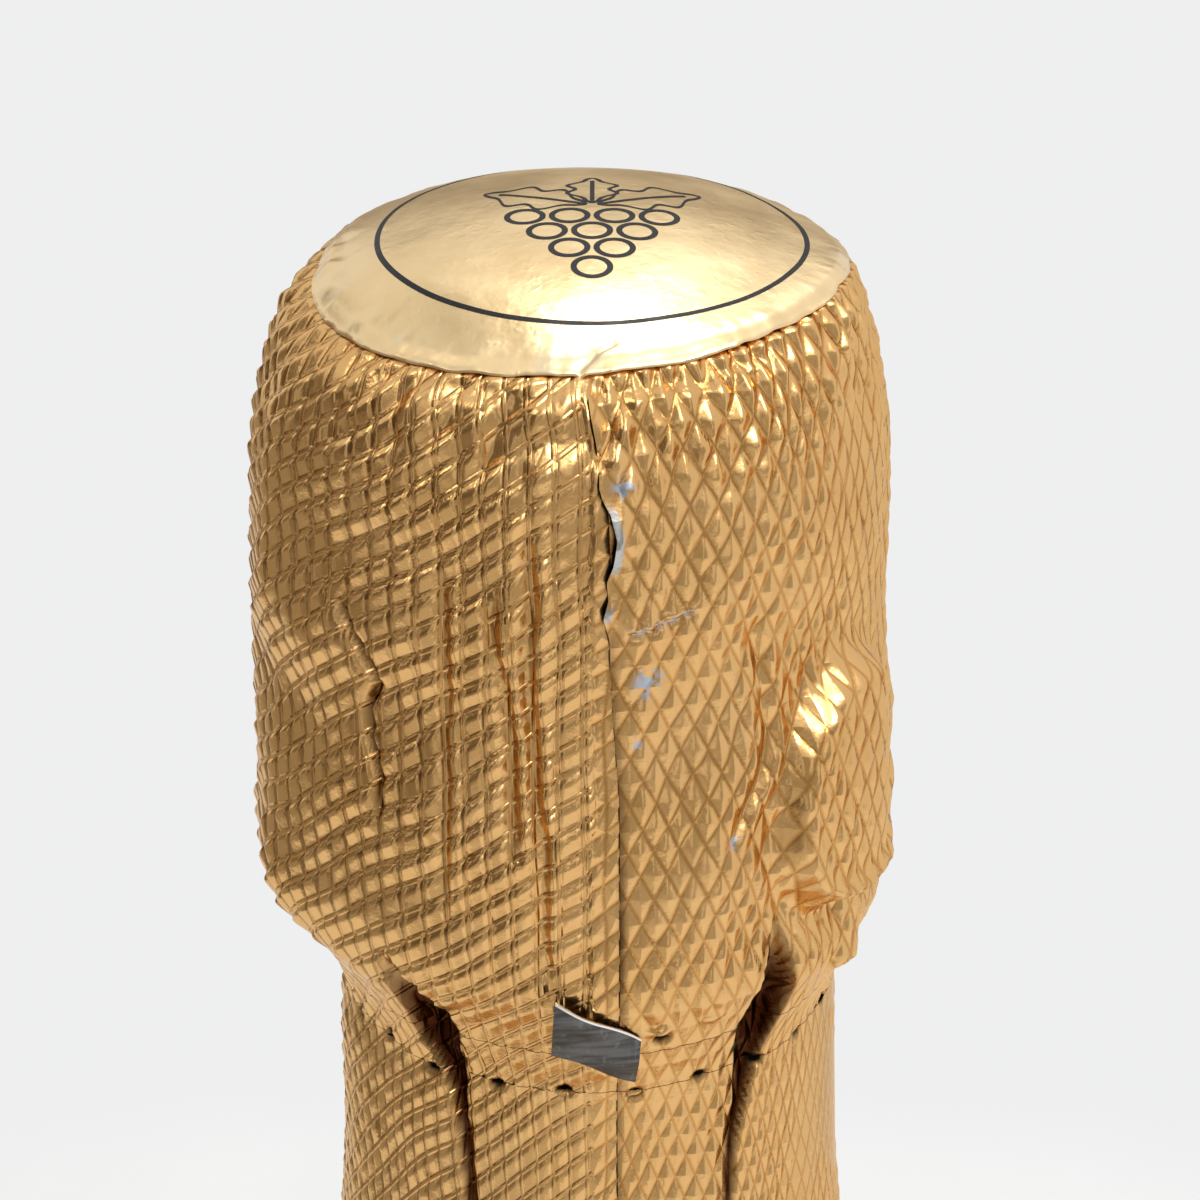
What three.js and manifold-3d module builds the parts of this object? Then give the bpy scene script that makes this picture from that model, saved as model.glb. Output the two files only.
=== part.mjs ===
// A sparkling wine bottle: glass, wine, stopper, wire cage, foil capsule and paper labels.
// Millimetres, +Z up, origin at the middle of the foot. Azimuth 0 faces -Y and grows towards +X.
import * as THREE from "three";
import { mergeVertices } from "three/addons/utils/BufferGeometryUtils.js";
import Module from "manifold-3d";

// Glass body
const BODY_RADIUS = 44.2;
const BODY_TOP = 123.5;
const BODY_WALL = 4.6;
const HEEL_RADIUS = 9;
const FOOT_WIDTH = 4.2;
const PUNT_DEPTH = 36;
const BASE_THICKNESS = 6;
const SHOULDER_SWELL = 46;
const SHOULDER_DRAW = 56;
const SHOULDER_TAPER = 3.6;
const PUNT_SPRING = 0.8;

// Glass neck and finish
const NECK_RADIUS = 14.2;
const NECK_FLARE = 1.2;
const NECK_LENGTH = 61;
const LIP_HEIGHT = 299;
const RING_RADIUS = 15.8;
const RING_BELOW_LIP = 20;
const RING_HEIGHT = 5.4;
const THROAT_RADIUS = 13.4;
const CROWN_RADIUS = 14.3;
const CROWN_HEIGHT = 6.5;
const GLASS_EDGE = 0.8;
const BORE_RADIUS = 8.75;
const BORE_FLARE = 0.75;
const BORE_STRAIGHT = 30;

// Wine
const WINE_DEPTH_BELOW_LIP = 80;

// Stopper
const CORK_IN_NECK = 24.5;
const CORK_HEAD_RADIUS = 15.2;
const CORK_HEAD_HEIGHT = 14.7;
const CORK_HEAD_ROUND = 4;
const CORK_DISC_HEIGHT = 6;

// Wire cage
const WIRE_DIAMETER = 1;
const TWIST_DIAMETER = 1.5;
const PLATE_RADIUS = 12.6;
const PLATE_RISE = 4;
const PLATE_THICKNESS = 0.4;
const PLATE_DISH = 0.7;
const LEG_COUNT = 4;
const LEG_AZIMUTH = 22.5;
const LEG_FOOT_ABOVE_BELT = 0.7;
const LOOP_AZIMUTH = 60;
const LOOP_RADIUS = 17.8;
const EYE_WIDTH = 12;
const EYE_HEIGHT = 14;
const EYE_WIRE = 0.85;
const SHANK_LENGTH = 5.4;

// Foil capsule
const FOIL_THICKNESS = 0.4;
const TOP_EDGE_ABOVE_PLATE = 2.7;
const TOP_EDGE_RADIUS = 15.3;
const TOP_RISE = 3.2;
const TOP_CURVE = 2.5;
const TOP_TILT = 0.055;
const TILT_FADE = 14;
const TILT_REACH = 0.7;
const HOOD_CROWN_RADIUS = 17.3;
const HOOD_CROWN_DROP = 4.6;
const HOOD_HEAD_RADIUS = 18.2;
const HOOD_HEAD_DROP = 13;
const HOOD_BELT_RADIUS = 18.55;
const HOOD_BELT_ABOVE_RING = 7;
const HOOD_SLACK = 0.8;
const LEG_RIDGE = 0.4;
const LEG_RIDGE_SPREAD = 7;
const LOOP_BUMP = 1.4;
const LOOP_BUMP_SPREAD = 30;
const STRIP_HEIGHT = 2.9;
const STRIP_TOP_RADIUS = 16.85;
const STRIP_BELOW_BELT = 2.3;
const SKIRT_BOTTOM = 185;
const TAB_LENGTH = 4.7;
const TAB_HEIGHT = 2.6;
const TAB_AZIMUTH = 1.3;
const TAB_SLANT = 12;

// Paper
const PAPER_THICKNESS = 0.25;
const FRONT_LABEL_WIDTH = 92;
const FRONT_LABEL_HEIGHT = 66;
const FRONT_LABEL_BOTTOM = 30;
const BACK_LABEL_WIDTH = 70;
const BACK_LABEL_HEIGHT = 50;
const BACK_LABEL_BOTTOM = 38;
const NECK_LABEL_HEIGHT = 15;
const NECK_LABEL_DROP = 5;

// Clearances
const SEAT_GAP = 0.3;
const CORK_GAP = 0.2;
const LEG_GAP = 0.2;
const PAPER_GAP = 0.15;

// Facets
const GLASS_SIDES = 36;
const FOIL_SIDES = 48;
const CORK_SIDES = 32;
const WIRE_SIDES = 6;
const TWIST_CURVE_SEGMENTS = 4;
const LEG_STEPS = 14;
const EYE_STEPS = 24;
const LABEL_STEPS = 22;
const CURVE_STEPS = 12;
const ARC_STEPS = 4;

// Heights worked out from the sizes above
const NECK_FOOT = LIP_HEIGHT - NECK_LENGTH;
const RING_BOTTOM = LIP_HEIGHT - RING_BELOW_LIP;
const BELT_HEIGHT = RING_BOTTOM - SEAT_GAP - WIRE_DIAMETER / 2 - SEAT_GAP;
const BELT_RADIUS = NECK_RADIUS + SEAT_GAP + WIRE_DIAMETER / 2;
const STRIP_TOP = BELT_HEIGHT - STRIP_BELOW_BELT;
const STRIP_BOTTOM = STRIP_TOP - STRIP_HEIGHT;
const SKIRT_TOP = STRIP_BOTTOM - SEAT_GAP;
const CORK_HEAD_BOTTOM = LIP_HEIGHT + SEAT_GAP;
const CORK_TOP = CORK_HEAD_BOTTOM + CORK_HEAD_HEIGHT;
const CORK_RADIUS = BORE_RADIUS - CORK_GAP;
const PLATE_RIM = CORK_TOP + SEAT_GAP;
const TOP_EDGE_HEIGHT = PLATE_RIM + TOP_EDGE_ABOVE_PLATE;
const HOOD_BELT_HEIGHT = RING_BOTTOM + HOOD_BELT_ABOVE_RING;
const WINE_TOP = LIP_HEIGHT - WINE_DEPTH_BELOW_LIP;
const FULL_TURN = Math.PI * 2;

const wasm = await Module();
wasm.setup();

// Points of a Bezier curve through [radius, height] corners, first corner left out.
function curve(corners, steps) {
  const points = corners.map(([r, z]) => new THREE.Vector2(r, z));
  const bezier =
    points.length === 3
      ? new THREE.QuadraticBezierCurve(...points)
      : new THREE.CubicBezierCurve(...points);
  return bezier
    .getPoints(steps)
    .slice(1)
    .map((p) => [p.x, p.y]);
}

// Evenly spaced points of a straight run, first point left out.
function run([fromRadius, from], [toRadius, to], steps) {
  return Array.from({ length: steps }, (_, i) => {
    const share = (i + 1) / steps;
    return [fromRadius + (toRadius - fromRadius) * share, from + (to - from) * share];
  });
}

// Radius of a rising [radius, height] outline at one height.
function radiusAt(outline, height) {
  const above = outline.findIndex(([, z]) => z >= height);
  if (above <= 0) return outline[above < 0 ? outline.length - 1 : 0][0];
  const [lowRadius, low] = outline[above - 1];
  const [highRadius, high] = outline[above];
  return lowRadius + ((highRadius - lowRadius) * (height - low)) / (high - low);
}

// The stretch of a rising outline between two heights, ends worked out.
function stretch(outline, bottom, top) {
  const between = outline.filter(([, z]) => z > bottom && z < top);
  return [[radiusAt(outline, bottom), bottom], ...between, [radiusAt(outline, top), top]];
}

// A solid of revolution about Z from an outline that runs up its outside.
function revolve(outline, sides) {
  const points = outline.map(([r, z]) => new THREE.Vector2(Math.max(r, 0), z));
  return new THREE.LatheGeometry(points, sides).rotateX(Math.PI / 2);
}

// A thin sleeve: an outside outline and the same outline moved in by the thickness.
function sleeve(outside, thickness, sides) {
  const inside = outside.map(([r, z]) => [r - thickness, z]).reverse();
  return revolve([...outside, ...inside, outside[0]], sides);
}

// Moves every vertex by a function of its own place.
function reshape(geometry, move) {
  const places = geometry.getAttribute("position");
  const point = new THREE.Vector3();
  for (let i = 0; i < places.count; i += 1) {
    move(point.fromBufferAttribute(places, i));
    places.setXYZ(i, point.x, point.y, point.z);
  }
  return geometry;
}

// Wraps a flat piece, drawn facing -Y, round the bottle at an azimuth in degrees.
function wrap(geometry, radiusOf, azimuth, centreHeight) {
  const middle = radiusOf(centreHeight);
  return reshape(geometry, (p) => {
    const radius = radiusOf(p.z) - p.y;
    const turn = THREE.MathUtils.degToRad(azimuth) + p.x / middle;
    p.set(radius * Math.sin(turn), -radius * Math.cos(turn), p.z);
  });
}

// A round bar along a path.
function bar(path, diameter, steps) {
  const section = new THREE.Shape().absarc(0, 0, diameter / 2, 0, FULL_TURN);
  return new THREE.ExtrudeGeometry(section, {
    extrudePath: path,
    steps,
    curveSegments: TWIST_CURVE_SEGMENTS,
  });
}

function solidOf(geometry) {
  const plain = geometry.clone();
  plain.deleteAttribute("normal");
  plain.deleteAttribute("uv");
  const merged = mergeVertices(plain, 1e-3);
  const mesh = new wasm.Mesh({
    numProp: 3,
    vertProperties: merged.getAttribute("position").array,
    triVerts: new Uint32Array(merged.index.array),
  });
  return new wasm.Manifold(mesh);
}

function joined(first, second) {
  const { vertProperties, triVerts } = solidOf(first).add(solidOf(second)).getMesh();
  const geometry = new THREE.BufferGeometry();
  geometry.setAttribute("position", new THREE.BufferAttribute(vertProperties, 3));
  geometry.setIndex(new THREE.BufferAttribute(triVerts, 1));
  geometry.computeVertexNormals();
  return geometry;
}

// 1 at the middle, falling to 0 a few spreads away.
function hump(offset, spread) {
  return Math.exp(-((offset / spread) ** 2));
}

// As hump, with a broad flat middle.
function plateau(offset, spread) {
  return Math.exp(-((offset / spread) ** 4));
}

function smoothStep(value, from, to) {
  return THREE.MathUtils.smoothstep(value, from, to);
}

// Degrees from one azimuth to another, between -180 and 180.
function turnBetween(from, to) {
  return ((((to - from + 180) % 360) + 360) % 360) - 180;
}

// Glass outlines
const footOuter = BODY_RADIUS - HEEL_RADIUS;
const footInner = footOuter - FOOT_WIDTH;
const ringTop = RING_BOTTOM + RING_HEIGHT;
const neckFootRadius = NECK_RADIUS + NECK_FLARE;

const glassSide = [
  [BODY_RADIUS, HEEL_RADIUS],
  [BODY_RADIUS, BODY_TOP],
  ...curve(
    [
      [BODY_RADIUS, BODY_TOP],
      [BODY_RADIUS, BODY_TOP + SHOULDER_SWELL],
      [neckFootRadius + SHOULDER_TAPER, NECK_FOOT - SHOULDER_DRAW],
      [neckFootRadius, NECK_FOOT],
    ],
    CURVE_STEPS,
  ),
  [NECK_RADIUS, RING_BOTTOM],
];

const glassInside = [
  ...curve(
    [
      [BODY_RADIUS - BODY_WALL - HEEL_RADIUS, BASE_THICKNESS],
      [BODY_RADIUS - BODY_WALL, BASE_THICKNESS],
      [BODY_RADIUS - BODY_WALL, BASE_THICKNESS + HEEL_RADIUS],
    ],
    ARC_STEPS,
  ),
  ...curve(
    [
      [BODY_RADIUS - BODY_WALL, BODY_TOP - BODY_WALL],
      [BODY_RADIUS - BODY_WALL, BODY_TOP + SHOULDER_SWELL - BODY_WALL],
      [BORE_RADIUS + BORE_FLARE + SHOULDER_TAPER, NECK_FOOT - SHOULDER_DRAW],
      [BORE_RADIUS + BORE_FLARE, NECK_FOOT],
    ],
    CURVE_STEPS,
  ),
  [BORE_RADIUS, LIP_HEIGHT - BORE_STRAIGHT],
];

// The dome under the bottle, from the middle outwards, raised for its inner face.
function punt(raise, reach) {
  return [
    [0, PUNT_DEPTH + raise],
    ...curve(
      [
        [0, PUNT_DEPTH + raise],
        [reach / 2, PUNT_DEPTH + raise],
        [reach * PUNT_SPRING, PUNT_DEPTH / 3 + raise],
        [reach, raise],
      ],
      ARC_STEPS + 2,
    ),
  ];
}

function glassBottle() {
  const heel = curve([[footOuter, 0], [BODY_RADIUS, 0], [BODY_RADIUS, HEEL_RADIUS]], ARC_STEPS);
  const ring = [
    [RING_RADIUS - GLASS_EDGE, RING_BOTTOM],
    [RING_RADIUS, RING_BOTTOM + GLASS_EDGE],
    [RING_RADIUS, ringTop - GLASS_EDGE],
    [RING_RADIUS - GLASS_EDGE, ringTop],
  ];
  const crown = [
    [THROAT_RADIUS, ringTop],
    [THROAT_RADIUS, LIP_HEIGHT - CROWN_HEIGHT - GLASS_EDGE],
    [CROWN_RADIUS, LIP_HEIGHT - CROWN_HEIGHT],
    [CROWN_RADIUS, LIP_HEIGHT - GLASS_EDGE],
    [CROWN_RADIUS - GLASS_EDGE, LIP_HEIGHT],
    [BORE_RADIUS + GLASS_EDGE, LIP_HEIGHT],
    [BORE_RADIUS, LIP_HEIGHT - GLASS_EDGE],
  ];
  const outside = [...punt(0, footInner), [footOuter, 0], ...heel, ...glassSide.slice(1)];
  const floor = [[BODY_RADIUS - BODY_WALL - HEEL_RADIUS, BASE_THICKNESS]];
  const inside = [...glassInside].reverse();
  const innerPunt = punt(BASE_THICKNESS, footInner - GLASS_EDGE).reverse();
  return revolve([...outside, ...ring, ...crown, ...inside, ...floor, ...innerPunt], GLASS_SIDES);
}

function wineFill() {
  const reach = footInner - GLASS_EDGE + SEAT_GAP;
  const bottom = punt(BASE_THICKNESS + SEAT_GAP, reach);
  const floorRadius = BODY_RADIUS - BODY_WALL - HEEL_RADIUS;
  const side = glassInside.map(([r, z]) => [r - SEAT_GAP, z + SEAT_GAP]);
  const wall = side.filter(([, z]) => z < WINE_TOP);
  const surface = [
    [radiusAt(side, WINE_TOP), WINE_TOP],
    [0, WINE_TOP],
  ];
  const floor = [floorRadius, BASE_THICKNESS + SEAT_GAP];
  return revolve([...bottom, floor, ...wall, ...surface], GLASS_SIDES);
}

// Stopper
const corkBottom = LIP_HEIGHT - CORK_IN_NECK;

function corkBody() {
  const shoulder = curve(
    [
      [CORK_HEAD_RADIUS, CORK_TOP - CORK_HEAD_ROUND],
      [CORK_HEAD_RADIUS, CORK_TOP],
      [CORK_HEAD_RADIUS - CORK_HEAD_ROUND, CORK_TOP],
    ],
    ARC_STEPS,
  );
  const bottom = corkBottom + 2 * (CORK_DISC_HEIGHT + PAPER_GAP);
  return revolve(
    [
      [0, bottom],
      [CORK_RADIUS, bottom],
      [CORK_RADIUS, CORK_HEAD_BOTTOM],
      [CROWN_RADIUS - GLASS_EDGE, CORK_HEAD_BOTTOM],
      [CORK_HEAD_RADIUS, CORK_HEAD_BOTTOM + GLASS_EDGE * 2],
      [CORK_HEAD_RADIUS, CORK_TOP - CORK_HEAD_ROUND],
      ...shoulder,
      [0, CORK_TOP],
    ],
    CORK_SIDES,
  );
}

function corkDisc(order) {
  const bottom = corkBottom + order * (CORK_DISC_HEIGHT + PAPER_GAP);
  return revolve(
    [
      [0, bottom],
      [CORK_RADIUS, bottom],
      [CORK_RADIUS, bottom + CORK_DISC_HEIGHT],
      [0, bottom + CORK_DISC_HEIGHT],
    ],
    CORK_SIDES,
  );
}

// Wire cage
const cageRingRadius = PLATE_RADIUS + SEAT_GAP + WIRE_DIAMETER / 2;
const legHeadRadius = CORK_HEAD_RADIUS + LEG_GAP + TWIST_DIAMETER / 2;
const legRingRadius = RING_RADIUS + LEG_GAP + TWIST_DIAMETER / 2;

function capPlate() {
  const dome = (raise) =>
    curve(
      [
        [0, PLATE_RIM + PLATE_RISE + raise],
        [PLATE_RADIUS / 2, PLATE_RIM + PLATE_RISE + raise],
        [PLATE_RADIUS * PLATE_DISH, PLATE_RIM + raise],
        [PLATE_RADIUS, PLATE_RIM + raise],
      ],
      ARC_STEPS * 2,
    );
  const under = [[0, PLATE_RIM + PLATE_RISE], ...dome(0)];
  const over = [[0, PLATE_RIM + PLATE_RISE + PLATE_THICKNESS], ...dome(PLATE_THICKNESS)];
  return revolve([...under, ...over.reverse()], CORK_SIDES);
}

function hoopWire(radius, height) {
  const hoop = new THREE.TorusGeometry(radius, WIRE_DIAMETER / 2, WIRE_SIDES, CORK_SIDES);
  return hoop.translate(0, 0, height);
}

// One twisted leg, from the hoop over the stopper and the glass ring down to the belt.
function cageLeg(azimuth) {
  const turn = THREE.MathUtils.degToRad(azimuth);
  const hoopEdge = cageRingRadius + WIRE_DIAMETER / 2 + TWIST_DIAMETER / 2;
  const stops = [
    [hoopEdge, PLATE_RIM + WIRE_DIAMETER / 2],
    [CORK_HEAD_RADIUS + LEG_GAP, CORK_TOP - CORK_HEAD_ROUND / 4],
    [legHeadRadius, CORK_TOP - CORK_HEAD_ROUND],
    [legHeadRadius, CORK_HEAD_BOTTOM],
    [legRingRadius, ringTop],
    [legRingRadius, RING_BOTTOM],
    [legRingRadius, BELT_HEIGHT - LEG_FOOT_ABOVE_BELT],
  ];
  const points = stops.map(
    ([r, z]) => new THREE.Vector3(r * Math.sin(turn), -r * Math.cos(turn), z),
  );
  return bar(new THREE.CatmullRomCurve3(points), TWIST_DIAMETER, LEG_STEPS);
}

// The short twist that turns when the loop is undone.
function loopKnot() {
  const inner = RING_RADIUS + SEAT_GAP;
  const outer = LOOP_RADIUS - TWIST_DIAMETER / 2 - SEAT_GAP;
  const path = new THREE.LineCurve3(
    new THREE.Vector3(0, -inner, BELT_HEIGHT),
    new THREE.Vector3(0, -outer, BELT_HEIGHT),
  );
  return bar(path, TWIST_DIAMETER, 1).rotateZ(THREE.MathUtils.degToRad(LOOP_AZIMUTH));
}

// The loop that is gripped: a twisted shank with an oval eye, bent to lie round the neck.
function twistLoop() {
  const shank = bar(
    new THREE.LineCurve3(
      new THREE.Vector3(0, 0, BELT_HEIGHT - TWIST_DIAMETER / 4),
      new THREE.Vector3(0, 0, BELT_HEIGHT + SHANK_LENGTH),
    ),
    TWIST_DIAMETER,
    1,
  );
  const eyeRadius = (EYE_WIDTH - EYE_WIRE) / 2;
  const stretchUp = (EYE_HEIGHT - EYE_WIRE) / (EYE_WIDTH - EYE_WIRE);
  const eye = new THREE.TorusGeometry(eyeRadius, EYE_WIRE / 2, WIRE_SIDES, EYE_STEPS)
    .rotateX(Math.PI / 2)
    .scale(1, 1, stretchUp)
    .translate(0, 0, BELT_HEIGHT + SHANK_LENGTH + EYE_HEIGHT / 2 - EYE_WIRE);
  return wrap(joined(shank, eye), () => LOOP_RADIUS, LOOP_AZIMUTH, BELT_HEIGHT);
}

// Foil capsule
const hoodBottom = STRIP_TOP + SEAT_GAP;
const stripBottomRadius = NECK_RADIUS + SEAT_GAP * 2 + FOIL_THICKNESS;
const hoodEdgeRadius =
  STRIP_TOP_RADIUS + ((STRIP_TOP_RADIUS - stripBottomRadius) * SEAT_GAP) / STRIP_HEIGHT;

const hoodOutline = [
  [hoodEdgeRadius, hoodBottom],
  ...curve(
    [
      [hoodEdgeRadius, hoodBottom],
      [HOOD_BELT_RADIUS, hoodBottom + STRIP_BELOW_BELT],
      [HOOD_BELT_RADIUS, HOOD_BELT_HEIGHT],
    ],
    ARC_STEPS,
  ),
  ...run(
    [HOOD_BELT_RADIUS, HOOD_BELT_HEIGHT],
    [HOOD_HEAD_RADIUS, TOP_EDGE_HEIGHT - HOOD_HEAD_DROP],
    ARC_STEPS + 1,
  ),
  ...curve(
    [
      [HOOD_HEAD_RADIUS, TOP_EDGE_HEIGHT - HOOD_HEAD_DROP],
      [HOOD_HEAD_RADIUS, TOP_EDGE_HEIGHT - HOOD_CROWN_DROP],
      [HOOD_CROWN_RADIUS, TOP_EDGE_HEIGHT - HOOD_CROWN_DROP],
      [TOP_EDGE_RADIUS, TOP_EDGE_HEIGHT - SEAT_GAP],
    ],
    ARC_STEPS + 2,
  ),
];

// The edge of the pressed-on top sits a little askew, higher towards +X.
function lean(p) {
  const below = smoothStep(p.z, TOP_EDGE_HEIGHT - TILT_FADE, TOP_EDGE_HEIGHT);
  const outside = smoothStep(Math.hypot(p.x, p.y), TOP_EDGE_RADIUS * TILT_REACH, TOP_EDGE_RADIUS);
  p.z += TOP_TILT * p.x * below * outside;
}

// How far the foil stands off its round outline over the legs, the loop and the slack side.
function foilStandOff(azimuth, height) {
  const legs = Array.from({ length: LEG_COUNT }, (_, i) => LEG_AZIMUTH + (i * 360) / LEG_COUNT);
  const ridges = legs.map((leg) => hump(turnBetween(azimuth, leg), LEG_RIDGE_SPREAD));
  const under = smoothStep(TOP_EDGE_HEIGHT - height, 0, HOOD_CROWN_DROP);
  const above = smoothStep(height, RING_BOTTOM, ringTop);
  const eyeTop = BELT_HEIGHT + SHANK_LENGTH + EYE_HEIGHT;
  const loopFade = 1 - smoothStep(height, eyeTop - EYE_WIRE, eyeTop + EYE_WIDTH / 2);
  const loop = plateau(turnBetween(azimuth, LOOP_AZIMUTH), LOOP_BUMP_SPREAD) * loopFade;
  const slack = -Math.sin(THREE.MathUtils.degToRad(azimuth)) * under * above;
  return LEG_RIDGE * Math.max(...ridges) * under + LOOP_BUMP * loop + HOOD_SLACK * slack;
}

function capsuleHood() {
  const shell = sleeve(hoodOutline, FOIL_THICKNESS, FOIL_SIDES);
  return reshape(shell, (p) => {
    const azimuth = Math.atan2(p.x, -p.y);
    const radius = Math.hypot(p.x, p.y) + foilStandOff(THREE.MathUtils.radToDeg(azimuth), p.z);
    p.set(radius * Math.sin(azimuth), -radius * Math.cos(azimuth), p.z);
    lean(p);
  });
}

// The smooth domed disc that closes the capsule.
function capsuleTop() {
  const steps = ARC_STEPS * 2;
  const dome = Array.from({ length: steps + 1 }, (_, i) => {
    const share = i / steps;
    return [TOP_EDGE_RADIUS * share, TOP_EDGE_HEIGHT + TOP_RISE * (1 - share ** TOP_CURVE)];
  });
  const over = dome.map(([r, z]) => [r, z + FOIL_THICKNESS]).reverse();
  return reshape(revolve([...dome, ...over], FOIL_SIDES), lean);
}

const stripOutline = [
  [stripBottomRadius, STRIP_BOTTOM],
  [STRIP_TOP_RADIUS, STRIP_TOP],
];

function tearStrip() {
  return sleeve(stripOutline, FOIL_THICKNESS, FOIL_SIDES);
}

// The loose end of the strip that a thumb lifts.
function tearTab() {
  const centre = (STRIP_TOP + STRIP_BOTTOM) / 2;
  const slope = (STRIP_TOP_RADIUS - stripBottomRadius) / STRIP_HEIGHT;
  const radiusOf = (z) => stripBottomRadius + slope * (z - STRIP_BOTTOM) + SEAT_GAP;
  const flat = new THREE.BoxGeometry(TAB_LENGTH, FOIL_THICKNESS, TAB_HEIGHT, ARC_STEPS, 1, 1)
    .translate(0, -FOIL_THICKNESS / 2, 0)
    .rotateY(THREE.MathUtils.degToRad(TAB_SLANT))
    .translate(0, 0, centre);
  return wrap(flat, radiusOf, TAB_AZIMUTH, centre);
}

const skirtOutline = stretch(glassSide, SKIRT_BOTTOM, SKIRT_TOP).map(([r, z]) => [
  r + SEAT_GAP + FOIL_THICKNESS,
  z,
]);

function capsuleSkirt() {
  return sleeve(skirtOutline, FOIL_THICKNESS, GLASS_SIDES);
}

// Paper
function bodyLabel(width, height, bottom, azimuth) {
  const centre = bottom + height / 2;
  const flat = new THREE.BoxGeometry(width, PAPER_THICKNESS, height, LABEL_STEPS, 1, 1)
    .translate(0, -PAPER_THICKNESS / 2, 0)
    .translate(0, 0, centre);
  return wrap(flat, () => BODY_RADIUS + PAPER_GAP, azimuth, centre);
}

function neckLabel() {
  const bottom = SKIRT_BOTTOM - NECK_LABEL_DROP;
  const outside = stretch(glassSide, bottom, bottom + NECK_LABEL_HEIGHT).map(([r, z]) => [
    r + SEAT_GAP + FOIL_THICKNESS + SEAT_GAP + PAPER_THICKNESS,
    z,
  ]);
  return sleeve(outside, PAPER_THICKNESS, GLASS_SIDES);
}

// Finishes
const finish = (color, roughness, metalness) => ({ color, roughness, metalness });
const GREEN_GLASS = finish(0x1d2b16, 0.08, 0);
const PALE_WINE = finish(0xe3c873, 0.1, 0);
const CORK_GRAIN = finish(0xb98a57, 0.9, 0);
const CORK_NATURAL = finish(0xc79c68, 0.85, 0);
const TIN_PLATE = finish(0xb9a066, 0.35, 1);
const STEEL_WIRE = finish(0x9a9a98, 0.35, 1);
const GOLD_FOIL = finish(0xd0a060, 0.32, 1);
const PLAIN_GOLD = finish(0xe0be78, 0.25, 1);
const GREY_FOIL = finish(0x77746c, 0.4, 1);
const CREAM_PAPER = finish(0xefe6cf, 0.8, 0);

function piece(name, geometry, look) {
  const mesh = new THREE.Mesh(geometry, new THREE.MeshStandardMaterial(look));
  mesh.name = name;
  return mesh;
}

const bottle = new THREE.Group();
bottle.add(
  piece("glass_bottle", glassBottle(), GREEN_GLASS),
  piece("wine", wineFill(), PALE_WINE),
  piece("cork_body", corkBody(), CORK_GRAIN),
  piece("cork_disc_upper", corkDisc(1), CORK_NATURAL),
  piece("cork_disc_lower", corkDisc(0), CORK_NATURAL),
  piece("cap_plate", capPlate(), TIN_PLATE),
  piece("cage_ring", hoopWire(cageRingRadius, PLATE_RIM), STEEL_WIRE),
  piece("belt_wire", hoopWire(BELT_RADIUS, BELT_HEIGHT), STEEL_WIRE),
  piece("loop_knot", loopKnot(), STEEL_WIRE),
  piece("twist_loop", twistLoop(), STEEL_WIRE),
  piece("capsule_hood", capsuleHood(), GOLD_FOIL),
  piece("capsule_top", capsuleTop(), PLAIN_GOLD),
  piece("tear_strip", tearStrip(), GOLD_FOIL),
  piece("tear_tab", tearTab(), GREY_FOIL),
  piece("capsule_skirt", capsuleSkirt(), GOLD_FOIL),
  piece("neck_label", neckLabel(), CREAM_PAPER),
);
const labels = [
  ["front_label", FRONT_LABEL_WIDTH, FRONT_LABEL_HEIGHT, FRONT_LABEL_BOTTOM, 0],
  ["back_label", BACK_LABEL_WIDTH, BACK_LABEL_HEIGHT, BACK_LABEL_BOTTOM, 180],
];
for (const [name, width, height, bottom, azimuth] of labels) {
  bottle.add(piece(name, bodyLabel(width, height, bottom, azimuth), CREAM_PAPER));
}
for (let i = 0; i < LEG_COUNT; i += 1) {
  const azimuth = LEG_AZIMUTH + (i * 360) / LEG_COUNT;
  bottle.add(piece(`cage_leg_${i + 1}`, cageLeg(azimuth), STEEL_WIRE));
}

export default bottle;
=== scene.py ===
"""Looks of a champagne bottle: foil capsule, stopper, wire cage, glass, wine and labels.

Metres, +Z up, origin at the middle of the foot. Azimuth 0 faces -Y and grows towards +X.
Sizes inside the helpers are millimetres, and each mesh is scaled once when it is made.
"""

import math

import bmesh
import bpy
import numpy as np
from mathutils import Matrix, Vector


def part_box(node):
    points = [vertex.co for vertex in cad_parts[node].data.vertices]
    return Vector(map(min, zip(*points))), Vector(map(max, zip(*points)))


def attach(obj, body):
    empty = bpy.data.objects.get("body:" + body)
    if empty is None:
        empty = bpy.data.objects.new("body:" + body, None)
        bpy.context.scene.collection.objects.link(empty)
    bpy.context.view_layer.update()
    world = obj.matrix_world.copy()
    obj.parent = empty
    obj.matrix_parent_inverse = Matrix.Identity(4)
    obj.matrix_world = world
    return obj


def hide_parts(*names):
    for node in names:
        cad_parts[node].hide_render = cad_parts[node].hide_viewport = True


bl_info = {
    "name": "Champagne Bottle Looks",
    "version": (1, 0, 0),
    "blender": (4, 5, 0),
    "location": "View3D > Sidebar > Bottle",
    "description": "Builds the visible pieces of a foil-capped champagne bottle",
    "category": "Object",
}

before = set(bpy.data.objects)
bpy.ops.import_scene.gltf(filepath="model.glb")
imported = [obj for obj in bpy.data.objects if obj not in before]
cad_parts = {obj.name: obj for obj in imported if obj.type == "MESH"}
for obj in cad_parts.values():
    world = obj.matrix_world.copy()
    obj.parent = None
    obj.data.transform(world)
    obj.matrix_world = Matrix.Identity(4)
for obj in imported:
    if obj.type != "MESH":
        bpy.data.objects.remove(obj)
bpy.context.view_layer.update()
MM = 0.001

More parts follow.
